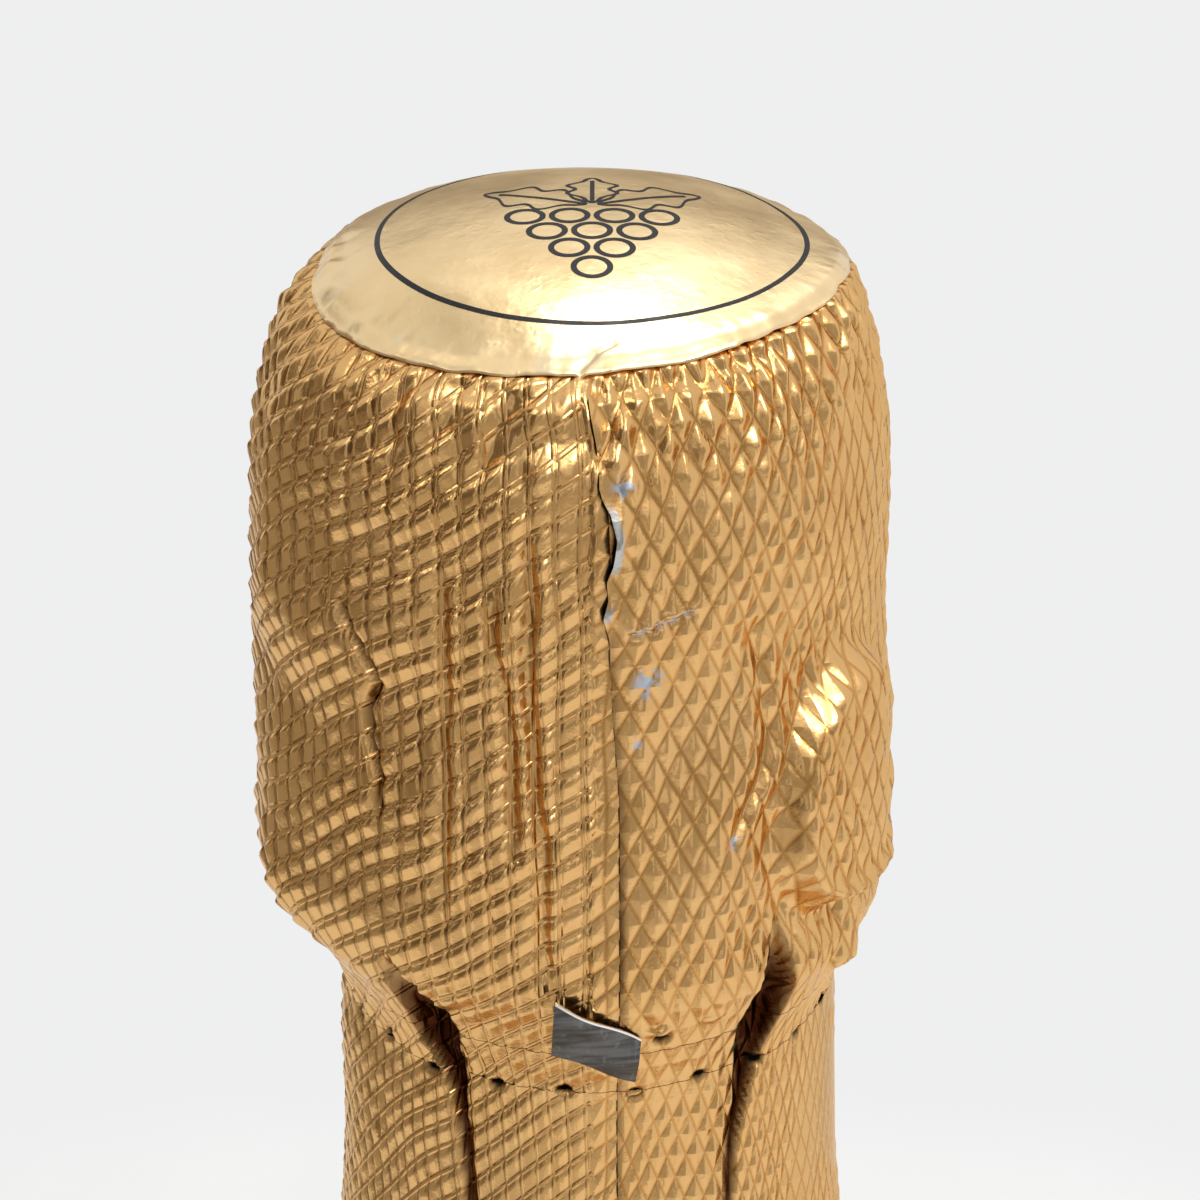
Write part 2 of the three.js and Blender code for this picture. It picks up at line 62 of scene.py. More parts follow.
# Heights and radii shared by the pieces, in millimetres
RIM_HEIGHT = 317.0
RIM_RADIUS = 15.1
TOP_RISE = 3.2
TOP_CURVE = 2.5
TOP_TILT = 0.065
TOP_SHIFT = 0.6
TILT_REACH = 0.7 * RIM_RADIUS
LIP_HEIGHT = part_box("glass_bottle")[1].z / MM
BODY_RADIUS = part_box("glass_bottle")[1].x / MM
HOOD_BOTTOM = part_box("capsule_hood")[0].z / MM
STRIP_BOTTOM, STRIP_TOP = (corner.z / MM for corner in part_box("tear_strip"))
SKIRT_BOTTOM, SKIRT_TOP = (corner.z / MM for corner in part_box("capsule_skirt"))
BELT_HEIGHT = sum(corner.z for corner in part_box("belt_wire")) / 2 / MM
CORK_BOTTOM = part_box("cork_disc_lower")[0].z / MM
CORK_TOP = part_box("cork_body")[1].z / MM
PLATE_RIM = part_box("cap_plate")[0].z / MM
LEG_AZIMUTHS = (22.5, 112.5, 202.5, 292.5)
LOOP_AZIMUTH = 60.0
LOOP_REACH = 17.1

# Foil outline: distance below the rim, mean radius, and how much more the left side stands off
FOIL_OUTLINE = (
    (0.25, 15.05, 0.0),
    (1.5, 16.0, 0.5),
    (4.6, 17.0, 1.15),
    (8.0, 17.7, 1.27),
    (14.0, 17.95, 1.3),
    (20.6, 18.05, 1.3),
    (27.0, 18.35, 1.45),
    (31.0, 18.4, 1.3),
    (34.5, 18.25, 1.5),
    (37.5, 17.8, 0.8),
    (40.2, 16.35, 0.3),
    (44.0, 14.75, 0.2),
    (47.5, 14.8, 0.25),
    (62.0, 14.8, 0.25),
    (79.0, 15.6, 0.0),
)


class CapsuleSettings(bpy.types.PropertyGroup):
    """Foil capsule"""

    emboss_pitch: bpy.props.FloatProperty(
        name="Emboss pitch", description="Distance between embossed lines, mm", default=1.46, min=0.5
    )
    emboss_depth: bpy.props.FloatProperty(
        name="Emboss depth", description="Height of the embossing, mm", default=0.3, min=0.0
    )
    crumple: bpy.props.FloatProperty(
        name="Crumple", description="Height of the hand-pressed dents, mm", default=0.5, min=0.0
    )
    foil_colour: bpy.props.FloatVectorProperty(
        name="Foil", description="Embossed foil", subtype="COLOR", default=(0.82, 0.5, 0.205), min=0, max=1
    )
    disc_colour: bpy.props.FloatVectorProperty(
        name="Top disc", description="Smooth foil disc", subtype="COLOR", default=(0.93, 0.71, 0.4), min=0, max=1
    )
    print_colour: bpy.props.FloatVectorProperty(
        name="Print", description="Printed line", subtype="COLOR", default=(0.008, 0.008, 0.01), min=0, max=1
    )


class BottleSettings(bpy.types.PropertyGroup):
    """Glass, stopper and paper"""

    glass_colour: bpy.props.FloatVectorProperty(
        name="Glass", description="Bottle glass", subtype="COLOR", default=(0.03, 0.075, 0.018), min=0, max=1
    )
    wine_colour: bpy.props.FloatVectorProperty(
        name="Wine", description="Filling", subtype="COLOR", default=(0.85, 0.66, 0.25), min=0, max=1
    )
    cork_colour: bpy.props.FloatVectorProperty(
        name="Stopper", description="Granulated cork", subtype="COLOR", default=(0.5, 0.29, 0.13), min=0, max=1
    )
    wire_colour: bpy.props.FloatVectorProperty(
        name="Wire", description="Cage wire", subtype="COLOR", default=(0.52, 0.52, 0.51), min=0, max=1
    )
    paper_colour: bpy.props.FloatVectorProperty(
        name="Labels", description="Label paper", subtype="COLOR", default=(0.84, 0.78, 0.64), min=0, max=1
    )


class StageSettings(bpy.types.PropertyGroup):
    """Floor, light and camera"""

    backdrop: bpy.props.FloatVectorProperty(
        name="Backdrop", description="Pale surround", subtype="COLOR", default=(0.86, 0.862, 0.868), min=0, max=1
    )
    lens: bpy.props.FloatProperty(name="Lens", description="Focal length, mm", default=137.3, min=10)
    camera_pitch: bpy.props.FloatProperty(
        name="Pitch", description="How far the camera looks down", subtype="ANGLE", default=0.447
    )


# Mesh helpers


def bezier(corners, steps):
    """Points of a Bezier curve, the first one left out."""
    share = np.linspace(0, 1, steps + 1)[1:, None]
    points = [np.array(corner, float) for corner in corners]
    while len(points) > 1:
        points = [a + (b - a) * share for a, b in zip(points, points[1:])]
    return [tuple(p) for p in points[0]]


def smooth_through(knots, values, at):
    """Smooth curve through a few values (cubic, no overshoot worth speaking of)."""
    knots = np.asarray(knots, float)
    values = np.asarray(values, float)
    slopes = np.gradient(values, knots)
    at = np.clip(at, knots[0], knots[-1])
    i = np.clip(np.searchsorted(knots, at) - 1, 0, len(knots) - 2)
    width = knots[i + 1] - knots[i]
    t = (at - knots[i]) / width
    rise = values[i] * (1 + 2 * t) * (1 - t) ** 2 + values[i + 1] * t * t * (3 - 2 * t)
    return rise + width * (slopes[i] * t * (1 - t) ** 2 - slopes[i + 1] * t * t * (1 - t))


def step_up(value, low, high):
    """0 below low, 1 above high, smooth between."""
    t = np.clip((np.asarray(value, float) - low) / (high - low), 0, 1)
    return t * t * (3 - 2 * t)


def hump(offset, spread):
    return np.exp(-np.square(offset / spread))


def lattice_corners(u, v, seed):
    """Seeded values at the four corners of each unit cell, which repeat every 64 cells, and the place in it."""
    lattice = np.random.default_rng(seed).uniform(-1, 1, (64, 64))
    iu = np.floor(u).astype(int)
    iv = np.floor(v).astype(int)
    near = lattice[iu % 64, iv % 64], lattice[(iu + 1) % 64, iv % 64]
    far = lattice[iu % 64, (iv + 1) % 64], lattice[(iu + 1) % 64, (iv + 1) % 64]
    return (*near, *far), u - iu, v - iv


def ripple(u, v, seed):
    """Smooth seeded noise between about -1 and 1."""
    (a, b, c, d), fu, fv = lattice_corners(u, v, seed)
    fu = step_up(fu, 0, 1)
    fv = step_up(fv, 0, 1)
    return (a * (1 - fu) + b * fu) * (1 - fv) + (c * (1 - fu) + d * fu) * fv


def facets(u, v, seed):
    """Seeded noise of flat triangles, as in crushed foil, on a lattice bent out of line."""
    bent_u = u + 0.4 * ripple(u * 0.6, v * 0.6, seed + 500)
    bent_v = v + 0.4 * ripple(u * 0.6, v * 0.6, seed + 600)
    (a, b, c, d), fu, fv = lattice_corners(bent_u, bent_v, seed)
    lower = a + (b - a) * fu + (c - a) * fv
    upper = d + (c - d) * (1 - fu) + (b - d) * (1 - fv)
    return np.where(fu + fv < 1, lower, upper)


def around(radius, azimuth, height):
    """Points at a radius, an azimuth in degrees and a height, stacked in the last axis."""
    turn = np.radians(azimuth)
    radius, turn, height = np.broadcast_arrays(radius, turn, height)
    return np.stack([radius * np.sin(turn), -radius * np.cos(turn), height], -1)


class Grid:
    """Rows of points that make a sheet of quads, with values for each point."""

    def __init__(self, points, closed=False, **values):
        self.points = np.asarray(points, float)
        self.closed = closed
        self.values = values


def mesh_of(name, grids, weld=False, sharp=40.0):
    """One mesh, in metres, from a list of grids."""
    places = []
    faces = []
    values = {}
    start = 0
    for grid in grids:
        rows, columns = grid.points.shape[:2]
        places.append(grid.points.reshape(-1, 3))
        r = np.arange(rows - 1)[:, None]
        c = np.arange(columns if grid.closed else columns - 1)[None, :]
        after = (c + 1) % columns
        quads = np.stack(
            np.broadcast_arrays(
                r * columns + c, r * columns + after, (r + 1) * columns + after, (r + 1) * columns + c
            ),
            -1,
        )
        faces.append(quads.reshape(-1, 4) + start)
        start += rows * columns
        for key, value in grid.values.items():
            values.setdefault(key, []).append(np.asarray(value, float).reshape(rows * columns, -1))
    mesh = bpy.data.meshes.new(name)
    mesh.from_pydata((np.concatenate(places) * MM).tolist(), [], np.concatenate(faces).tolist())
    for key, parts in values.items():
        data = np.concatenate(parts)
        kind, field = ("FLOAT", "value") if data.shape[1] == 1 else ("FLOAT_VECTOR", "vector")
        layer = mesh.attributes.new(key, kind, "POINT")
        layer.data.foreach_set(field, data.astype(np.float32).reshape(-1))
    if weld:
        shell = bmesh.new()
        shell.from_mesh(mesh)
        bmesh.ops.remove_doubles(shell, verts=shell.verts, dist=1e-7)
        bmesh.ops.dissolve_degenerate(shell, edges=shell.edges, dist=1e-8)
        shell.to_mesh(mesh)
        shell.free()
    mesh.shade_smooth()
    mesh.set_sharp_from_angle(angle=math.radians(sharp))
    return mesh


def lathe(outline, sides=128):
    """A grid turned about the bottle's axis from an outline that runs up its outside."""
    radius = np.array([max(r, 0.0) for r, _ in outline])[:, None]
    height = np.array([z for _, z in outline])[:, None]
    azimuth = np.arange(sides)[None, :] * 360.0 / sides
    return Grid(around(radius, azimuth, height), closed=True)


def tube(path, radius, sides=10, ring=False):
    """A round wire along points, with closed ends, or joined into a ring."""
    path = np.asarray(path, float)
    tangent = (np.roll(path, -1, 0) - np.roll(path, 1, 0)) if ring else np.gradient(path, axis=0)
    tangent /= np.linalg.norm(tangent, axis=1)[:, None]
    side = np.cross(tangent[0], (0.0, 0.0, 1.0) if abs(tangent[0][2]) < 0.9 else (1.0, 0.0, 0.0))
    rows = []
    turn = np.arange(sides) * 2 * np.pi / sides
    for point, along in zip(path, tangent):
        side = side - along * side.dot(along)
        side /= np.linalg.norm(side)
        other = np.cross(along, side)
        rows.append(point + radius * (np.cos(turn)[:, None] * side + np.sin(turn)[:, None] * other))
    rows = [*rows, rows[0]] if ring else [np.repeat(path[:1], sides, 0), *rows, np.repeat(path[-1:], sides, 0)]
    return Grid(np.array(rows), closed=True)


def twisted_pair(path, wire, pitch):
    """Two strands laid round each other along a path."""
    path = np.asarray(path, float)
    tangent = np.gradient(path, axis=0)
    tangent /= np.linalg.norm(tangent, axis=1)[:, None]
    length = np.concatenate([[0], np.cumsum(np.linalg.norm(np.diff(path, axis=0), axis=1))])
    outward = path * (1, 1, 0)
    outward -= tangent * np.sum(outward * tangent, 1)[:, None]
    outward /= np.linalg.norm(outward, axis=1)[:, None]
    other = np.cross(tangent, outward)
    strands = []
    for phase in (0, math.pi):
        turn = (length / pitch * 2 * math.pi + phase)[:, None]
        strands.append(tube(path + wire * 0.96 * (np.cos(turn) * outward + np.sin(turn) * other), wire, 8))
    return strands


def thin_plate(outer, inner, key, value, top_value=0.0):
    """A closed thin plate between two faces of the same grid, with a value over its outer face."""
    edges = (
        (inner[0], outer[0], 0.0),
        (outer[-1], inner[-1], top_value),
        (outer[:, 0], inner[:, 0], 0.0),
        (inner[:, -1], outer[:, -1], 0.0),
    )
    grids = [Grid(outer, **{key: value}), Grid(inner[:, ::-1], **{key: 0 * value})]
    for first, second, level in edges:
        grids.append(Grid(np.stack([first, second]), **{key: np.full((2, len(first)), level)}))
    return grids


def place(mesh, material, body, slot, *nodes):
    """Puts a finished mesh in the scene, riding on a body and standing for CAD nodes."""
    piece = bpy.data.objects.new(mesh.name, mesh)
    bpy.context.scene.collection.objects.link(piece)
    mesh.materials.append(material)
    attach(piece, body)
    if nodes:
        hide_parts(*nodes)
    return piece


# Shader helpers


class Sketch:
    """A node tree with short calls for the nodes that the finishes share."""

    def __init__(self, tree):
        self.tree = tree

    def node(self, kind, inputs=None, **settings):
        made = self.tree.nodes.new(kind)
        for key, value in settings.items():
            setattr(made, key, value)
        for key, value in (inputs or {}).items():
            self.feed(made.inputs[key], value)
        return made

    def feed(self, socket, value):
        if isinstance(value, bpy.types.NodeSocket):
            self.tree.links.new(value, socket)
        elif isinstance(value, (tuple, list)) and socket.type == "RGBA":
            socket.default_value = (*value[:3], 1.0)
        else:
            socket.default_value = value

    def math(self, operation, first, second=0.0, third=0.0):
        made = self.node("ShaderNodeMath", {0: first, 1: second, 2: third}, operation=operation)
        return made.outputs[0]

    def between(self, value, low, high, first=0.0, second=1.0):
        inputs = {"Value": value, "From Min": low, "From Max": high, "To Min": first, "To Max": second}
        return self.node("ShaderNodeMapRange", inputs, interpolation_type="SMOOTHSTEP").outputs["Result"]

    def blend(self, share, first, second, mode="MIX"):
        made = self.node("ShaderNodeMix", data_type="RGBA", blend_type=mode)
        self.feed(made.inputs["Factor"], share)
        self.feed(made.inputs["A"], first)
        self.feed(made.inputs["B"], second)
        return next(out for out in made.outputs if out.type == "RGBA")

    def noise(self, where, scale, detail=3.0, roughness=0.5):
        inputs = {"Vector": where, "Scale": scale, "Detail": detail, "Roughness": roughness}
        return self.node("ShaderNodeTexNoise", inputs).outputs["Fac"]

    def value(self, name):
        return self.node("ShaderNodeAttribute", attribute_name=name).outputs["Fac"]

    def vector(self, name):
        return self.node("ShaderNodeAttribute", attribute_name=name).outputs["Vector"]

    def place(self):
        return self.node("ShaderNodeTexCoord").outputs["Object"]

    def stretched(self, where, scale):
        return self.node("ShaderNodeVectorMath", {0: where, 1: scale}, operation="MULTIPLY").outputs[0]

    def bump(self, height, strength, distance, under=None):
        made = self.node("ShaderNodeBump", {"Height": height, "Strength": strength, "Distance": distance})
        if under is not None:
            self.feed(made.inputs["Normal"], under)
        return made.outputs["Normal"]


def new_finish(name, **plain):
    """A material with a Principled BSDF whose plain sockets are set, and a sketch to add to it."""
    material = bpy.data.materials.new(name)
    material.use_nodes = True
    shader = material.node_tree.nodes["Principled BSDF"]
    sketch = Sketch(material.node_tree)
    for key, value in plain.items():
        sketch.feed(shader.inputs[key.replace("_", " ")], value)
    return material, shader, sketch


def new_group(name, inputs, outputs):
    """An empty shader node group with named sockets, given as name to socket kind."""
    group = bpy.data.node_groups.new(name, "ShaderNodeTree")
    for label, kind in inputs.items():
        group.interface.new_socket(label, in_out="INPUT", socket_type=kind)
    for label, kind in outputs.items():
        group.interface.new_socket(label, in_out="OUTPUT", socket_type=kind)
    sketch = Sketch(group)
    return group, sketch, sketch.node("NodeGroupInput").outputs, sketch.node("NodeGroupOutput").inputs


def use_group(sketch, group, **values):
    made = sketch.node("ShaderNodeGroup", node_tree=group)
    for key, value in values.items():
        sketch.feed(made.inputs[key], value)
    return made.outputs


def embossing_group():
    """Height and line mask of the crossed embossing, from flat sheet coordinates in pitches."""
    found = bpy.data.node_groups.get("Embossing")
    if found:
        return found
    group, s, given, result = new_group(
        "Embossing",
        {"Sheet": "NodeSocketVector", "Ridges": "NodeSocketFloat"},
        {"Height": "NodeSocketFloat", "Lines": "NodeSocketFloat"},
    )
    split = s.node("ShaderNodeSeparateXYZ", {0: given["Sheet"]}).outputs
    gaps = [s.math("PINGPONG", s.math("ADD", split[i], 64.0), 0.5) for i in (0, 1)]
    nearest = s.math("MINIMUM", gaps[0], gaps[1])
    lines = s.between(nearest, 0.03, 0.13, 1.0, 0.0)
    pyramid = s.math("MULTIPLY", nearest, 2.0)
    s.feed(result["Height"], s.node("ShaderNodeMix", {0: given["Ridges"], 2: pyramid, 3: lines}).outputs[0])
    s.feed(result["Lines"], lines)
    return group


def handling_group():
    """Fine wear that all the metal shows: patchy smears and short rubbed marks."""
    found = bpy.data.node_groups.get("Handling")
    if found:
        return found
    group, s, given, result = new_group(
        "Handling",
        {"Place": "NodeSocketVector", "Scale": "NodeSocketFloat"},
        {"Smears": "NodeSocketFloat", "Rubs": "NodeSocketFloat"},
    )
    s.feed(result["Smears"], s.noise(given["Place"], given["Scale"], 5.0, 0.6))
    long_way = s.stretched(given["Place"], (1.0, 1.0, 0.12))
    rubs = s.noise(long_way, s.math("MULTIPLY", given["Scale"], 6.0), 2.0, 0.7)
    s.feed(result["Rubs"], s.between(rubs, 0.56, 0.72))
    return group


def foil_finish():
    """Embossed gold foil with rubbed spots and a pale lining, and painted shade: darker embossed lines, painted shadow
    in the pleats, the seam gap and the crease, and pricked holes painted near black.
    """
    settings = bpy.context.scene.capsule_settings
    material, shader, s = new_finish("embossed_gold_foil", Metallic=1.0, Specular_Tint=(0.96, 0.86, 0.7))
    where = s.place()
    emboss = use_group(s, embossing_group(), Sheet=s.vector("sheet"), Ridges=s.value("ridges"))
    wear = use_group(s, handling_group(), Place=where, Scale=180.0)
    gold = tuple(settings.foil_colour)
    # Painted shade: the embossed lines are darkened towards brown, most on the diamonds and less on the woven rows, for
    # the shade and inter-reflection in the grooves
    groove_shade = (gold[0] * 0.64, gold[1] * 0.48, gold[2] * 0.28)
    dull = (gold[0] * 0.93, gold[1] * 0.9, gold[2] * 0.84)
    colour = s.blend(s.between(wear["Smears"], 0.3, 0.7), dull, gold)
    depth = s.between(s.value("ridges"), 0.0, 1.0, 0.62, 0.24)
    colour = s.blend(s.math("MULTIPLY", emboss["Lines"], depth), colour, groove_shade)
    worn = s.math("MULTIPLY", s.value("worn"), s.between(s.noise(where, 1900.0, 4.0), 0.47, 0.55))
    colour = s.blend(worn, colour, (0.5, 0.55, 0.63))
    # Painted shadow: dark brown shade in the pleat openings, in the gap under the lapped seam edge and along the left
    # crease
    colour = s.blend(s.value("gap_shade"), colour, (0.06, 0.016, 0.005))
    # Painted shade: the pricked holes are painted near black for the dark inside of each hole
    hole = s.value("hole")
    colour = s.blend(hole, colour, (0.004, 0.004, 0.004))
    inside = s.math("MAXIMUM", s.node("ShaderNodeNewGeometry").outputs["Backfacing"], s.value("lining"))
    colour = s.blend(inside, colour, (0.52, 0.52, 0.5))
    s.feed(shader.inputs["Base Color"], colour)
    rough = s.math("ADD", s.between(wear["Smears"], 0.25, 0.75, 0.19, 0.29), s.math("MULTIPLY", worn, 0.2))
    s.feed(shader.inputs["Roughness"], s.math("ADD", rough, s.math("MULTIPLY", hole, 0.5)))
    fine = s.noise(where, 2600.0, 2.0)
    height = s.math("ADD", emboss["Height"], s.math("MULTIPLY", fine, 0.28))
    s.feed(shader.inputs["Normal"], s.bump(height, 0.55, 0.00016))
    return material


def disc_finish():
    """Smooth gold foil with orange peel and a few handling marks."""
    material, shader, s = new_finish("smooth_gold_foil", Metallic=1.0)
    gold = tuple(bpy.context.scene.capsule_settings.disc_colour)
    where = s.place()
    wear = use_group(s, handling_group(), Place=where, Scale=140.0)
    colour = s.blend(s.between(wear["Smears"], 0.3, 0.7), (gold[0] * 0.93, gold[1] * 0.88, gold[2] * 0.8), gold)
    colour = s.blend(s.math("MULTIPLY", s.value("worn"), 0.35), colour, (0.8, 0.72, 0.55))
    s.feed(shader.inputs["Base Color"], colour)
    s.feed(shader.inputs["Roughness"], s.between(wear["Smears"], 0.25, 0.75, 0.28, 0.38))
    peel = s.math("ADD", s.noise(where, 950.0, 2.0), s.math("MULTIPLY", wear["Rubs"], 0.25))
    s.feed(shader.inputs["Normal"], s.bump(peel, 0.2, 0.0002))
    return material


def print_finish():
    """Black ink on the disc, thin enough to break up a little."""
    material, shader, s = new_finish("black_print", Metallic=0.0, Specular_IOR_Level=0.25)
    ink = tuple(bpy.context.scene.capsule_settings.print_colour)
    wear = use_group(s, handling_group(), Place=s.place(), Scale=700.0)
    s.feed(shader.inputs["Base Color"], s.blend(wear["Rubs"], ink, (0.03, 0.027, 0.02)))
    s.feed(shader.inputs["Roughness"], s.between(wear["Smears"], 0.3, 0.7, 0.34, 0.5))
    return material


def tab_finish():
    """Dark grey metal strip with drawn streaks, and a near-white band along its top: the bare cut edge, widened into a
    painted highlight.
    """
    material, shader, s = new_finish("grey_strip", Metallic=1.0)
    where = s.place()
    wear = use_group(s, handling_group(), Place=where, Scale=420.0)
    streaks = s.noise(s.stretched(where, (300.0, 300.0, 2400.0)), 1.0, 3.0)
    colour = s.blend(s.between(streaks, 0.35, 0.65), (0.075, 0.073, 0.072), (0.15, 0.146, 0.142))
    colour = s.blend(s.math("MULTIPLY", wear["Rubs"], 0.2), colour, (0.4, 0.38, 0.36))
    # Partly the bare cut edge, partly a painted highlight: a near-white band along the top of the strip
    colour = s.blend(s.between(s.value("cut_edge_and_highlight"), 0.3, 0.5), colour, (0.93, 0.9, 0.86))
    s.feed(shader.inputs["Base Color"], colour)
    s.feed(shader.inputs["Roughness"], s.between(wear["Smears"], 0.3, 0.7, 0.28, 0.45))
    s.feed(shader.inputs["Normal"], s.bump(streaks, 0.3, 0.00005))
    return material


def wire_finish():
    """Drawn steel wire, dulled in patches."""
    material, shader, s = new_finish("cage_wire", Metallic=1.0)
    steel = tuple(bpy.context.scene.bottle_settings.wire_colour)
    wear = use_group(s, handling_group(), Place=s.place(), Scale=260.0)
    dull = tuple(0.55 * c for c in steel)
    s.feed(shader.inputs["Base Color"], s.blend(s.between(wear["Smears"], 0.35, 0.7), dull, steel))
    s.feed(shader.inputs["Roughness"], s.between(wear["Smears"], 0.3, 0.7, 0.42, 0.24))
    s.feed(shader.inputs["Normal"], s.bump(wear["Rubs"], 0.2, 0.00003))
    return material


def plate_finish():
    """Gold lacquer over tin plate, rubbed through on the pressed rings."""
    material, shader, s = new_finish("cap_lacquer", Metallic=1.0, Coat_Weight=0.6, Coat_Roughness=0.12)
    wear = use_group(s, handling_group(), Place=s.place(), Scale=200.0)
    colour = s.blend(s.between(wear["Smears"], 0.3, 0.7), (0.55, 0.36, 0.12), (0.68, 0.47, 0.18))
    s.feed(shader.inputs["Base Color"], s.blend(wear["Rubs"], colour, (0.7, 0.68, 0.62)))
    s.feed(shader.inputs["Roughness"], s.between(wear["Smears"], 0.3, 0.7, 0.2, 0.36))
    return material


def glass_finish():
    """Dark green bottle glass with faint mould waves."""
    green = tuple(bpy.context.scene.bottle_settings.glass_colour)
    material, shader, s = new_finish("green_glass", Transmission_Weight=1.0, IOR=1.52, Metallic=0.0)
    where = s.place()
    shade = s.noise(where, 12.0, 2.0)
    colour = s.blend(s.between(shade, 0.3, 0.7), tuple(c * 0.8 for c in green), tuple(c * 1.2 for c in green))
    s.feed(shader.inputs["Base Color"], colour)
    s.feed(shader.inputs["Roughness"], s.between(s.noise(where, 60.0, 4.0), 0.35, 0.75, 0.03, 0.1))
    waves = s.noise(s.stretched(where, (1.0, 1.0, 0.4)), 55.0, 2.0)
    s.feed(shader.inputs["Normal"], s.bump(waves, 0.12, 0.0012))
    return material


def wine_finish():
    """Pale wine with a few fine bubbles on its surface."""
    straw = tuple(bpy.context.scene.bottle_settings.wine_colour)
    material, shader, s = new_finish("wine", Transmission_Weight=1.0, IOR=1.34, Metallic=0.0, Roughness=0.02)
    where = s.place()
    colour = s.blend(s.between(s.noise(where, 20.0, 2.0), 0.3, 0.7), straw, tuple(c * 0.93 for c in straw))
    s.feed(shader.inputs["Base Color"], colour)
    s.feed(shader.inputs["Normal"], s.bump(s.noise(where, 240.0, 1.0), 0.05, 0.0003))
    return material


def cork_finish(natural):
    """Pressed cork granules, or the finer pores of a natural disc."""
    material, shader, s = new_finish("natural_cork" if natural else "granulated_cork")
    tone = tuple(bpy.context.scene.bottle_settings.cork_colour)
    where = s.place()
    cells = s.node("ShaderNodeTexVoronoi", {"Vector": where, "Scale": 900.0 if natural else 520.0})
    grain = s.node("ShaderNodeSeparateColor", {0: cells.outputs["Color"]}).outputs[0]
    light = tuple(min(1.0, c * 1.45) for c in tone)
    dark = tuple(c * (0.8 if natural else 0.55) for c in tone)
    colour = s.blend(s.between(grain, 0.0, 1.0), dark, light)
    pores = s.noise(s.stretched(where, (1.0, 1.0, 0.35 if natural else 1.0)), 700.0, 3.0)
    pits = s.between(pores, 0.6, 0.7)
    s.feed(shader.inputs["Base Color"], s.blend(pits, colour, tuple(c * 0.25 for c in tone)))
    s.feed(shader.inputs["Roughness"], s.between(pores, 0.3, 0.7, 0.75, 0.95))
    height = s.math("SUBTRACT", s.math("MULTIPLY", grain, 0.4), pits)
    s.feed(shader.inputs["Normal"], s.bump(height, 0.6, 0.0002))
    return material


def paper_finish():
    """Laid cream paper with a double gold rule near its edges."""
    material, shader, s = new_finish("label_paper")
    cream = tuple(bpy.context.scene.bottle_settings.paper_colour)
    where = s.place()
    fibres = s.noise(s.stretched(where, (1.0, 1.0, 3.0)), 600.0, 5.0, 0.7)
    colour = s.blend(s.between(fibres, 0.35, 0.65), tuple(c * 0.93 for c in cream), cream)
    rule = s.value("rule")
    inner = s.between(s.math("ABSOLUTE", s.math("SUBTRACT", rule, 3.0)), 0.3, 0.42, 1.0, 0.0)
    outer = s.between(s.math("ABSOLUTE", s.math("SUBTRACT", rule, 4.3)), 0.12, 0.22, 1.0, 0.0)
    gold = s.math("MAXIMUM", inner, outer)
    s.feed(shader.inputs["Base Color"], s.blend(gold, colour, (0.7, 0.45, 0.15)))
    s.feed(shader.inputs["Metallic"], gold)
    s.feed(shader.inputs["Roughness"], s.math("SUBTRACT", 0.82, s.math("MULTIPLY", gold, 0.48)))
    height = s.math("ADD", fibres, s.math("MULTIPLY", gold, 1.5))
    s.feed(shader.inputs["Normal"], s.bump(height, 0.25, 0.00006))
    return material


# Foil surface

SEAM_TURN = (
    (0.0, 1.2), (5.6, 1.3), (6.3, 1.9), (7.0, 3.2), (8.3, 4.2), (9.9, 3.6), (10.9, 2.5),
    (12.0, 2.8), (13.0, 1.9), (14.4, 3.0), (18.0, 3.4), (24.0, 4.8), (37.0, 4.9), (60.0, 6.2),
)
SEAM_LAP = 6.0
SHEET_TWIST = 30.0 / 360.0
SHEET_RADIUS = 220.0
LEFT_CREASE = ((14.5, -46.0), (16.0, -43.5), (18.8, -39.2), (20.4, -41.6), (22.4, -41.2), (24.6, -38.8), (27.0, -39.0))
RIGHT_CREASE = ((14.0, 30.5), (19.0, 33.6), (22.0, 34.8), (24.2, 33.0), (26.0, 29.8), (29.0, 24.0))
UPRIGHT_FOLDS = ((-24.4, -22.5, 12.0, 33.0, 0.17), (-15.0, -9.8, 12.5, 29.0, 0.26), (-9.0, -5.0, 9.0, 38.0, 0.24))
OVER_EDGE_DROP = 1.3
# Broad dents: azimuth, distance below the rim, half width and half height, depth
BROAD_DENTS = (
    (-35.0, 21.0, 3.6, 4.6, -0.6),
    (-54.0, 16.5, 5.0, 2.6, 0.4),
    (-64.0, 23.0, 5.0, 3.4, -0.45),
    (-30.0, 10.5, 5.5, 2.4, -0.35),
    (21.0, 21.0, 3.6, 5.0, -0.45),
    (47.0, 16.4, 4.6, 1.7, -0.45),
    (30.0, 10.0, 4.0, 2.6, 0.3),
)
LEFT_SLIT = ((35.5, -39.5), (39.0, -37.2), (42.6, -36.4), (44.4, -33.2), (46.2, -31.4), (51.5, -29.2), (64.0, -28.8))
RIGHT_SLIT = ((34.2, 37.5), (36.6, 38.5), (40.3, 41.0), (43.2, 39.2), (46.8, 36.0), (49.2, 33.8), (52.5, 33.0), (64.0, 32.6))
RUBBED_SPOTS = ((5.6, 5.7, 0.7), (9.9, 17.3, 1.0), (26.4, 28.0, 0.4), (8.0, 21.0, 0.3))
TORN_LINE = ((6.5, 14.0), (10.5, 14.1), (12.5, 13.7), (17.9, 13.2))
PRINT_X = 0.6
PERFORATION_STEP = 15.0
PERFORATION_START = 9.0
ROOT_TURN = 13.4
ROOT_DROP = 40.3
INNER_RADIUS = 14.3
LEG_COVER = 0.95
SHANK_COVER = 17.5
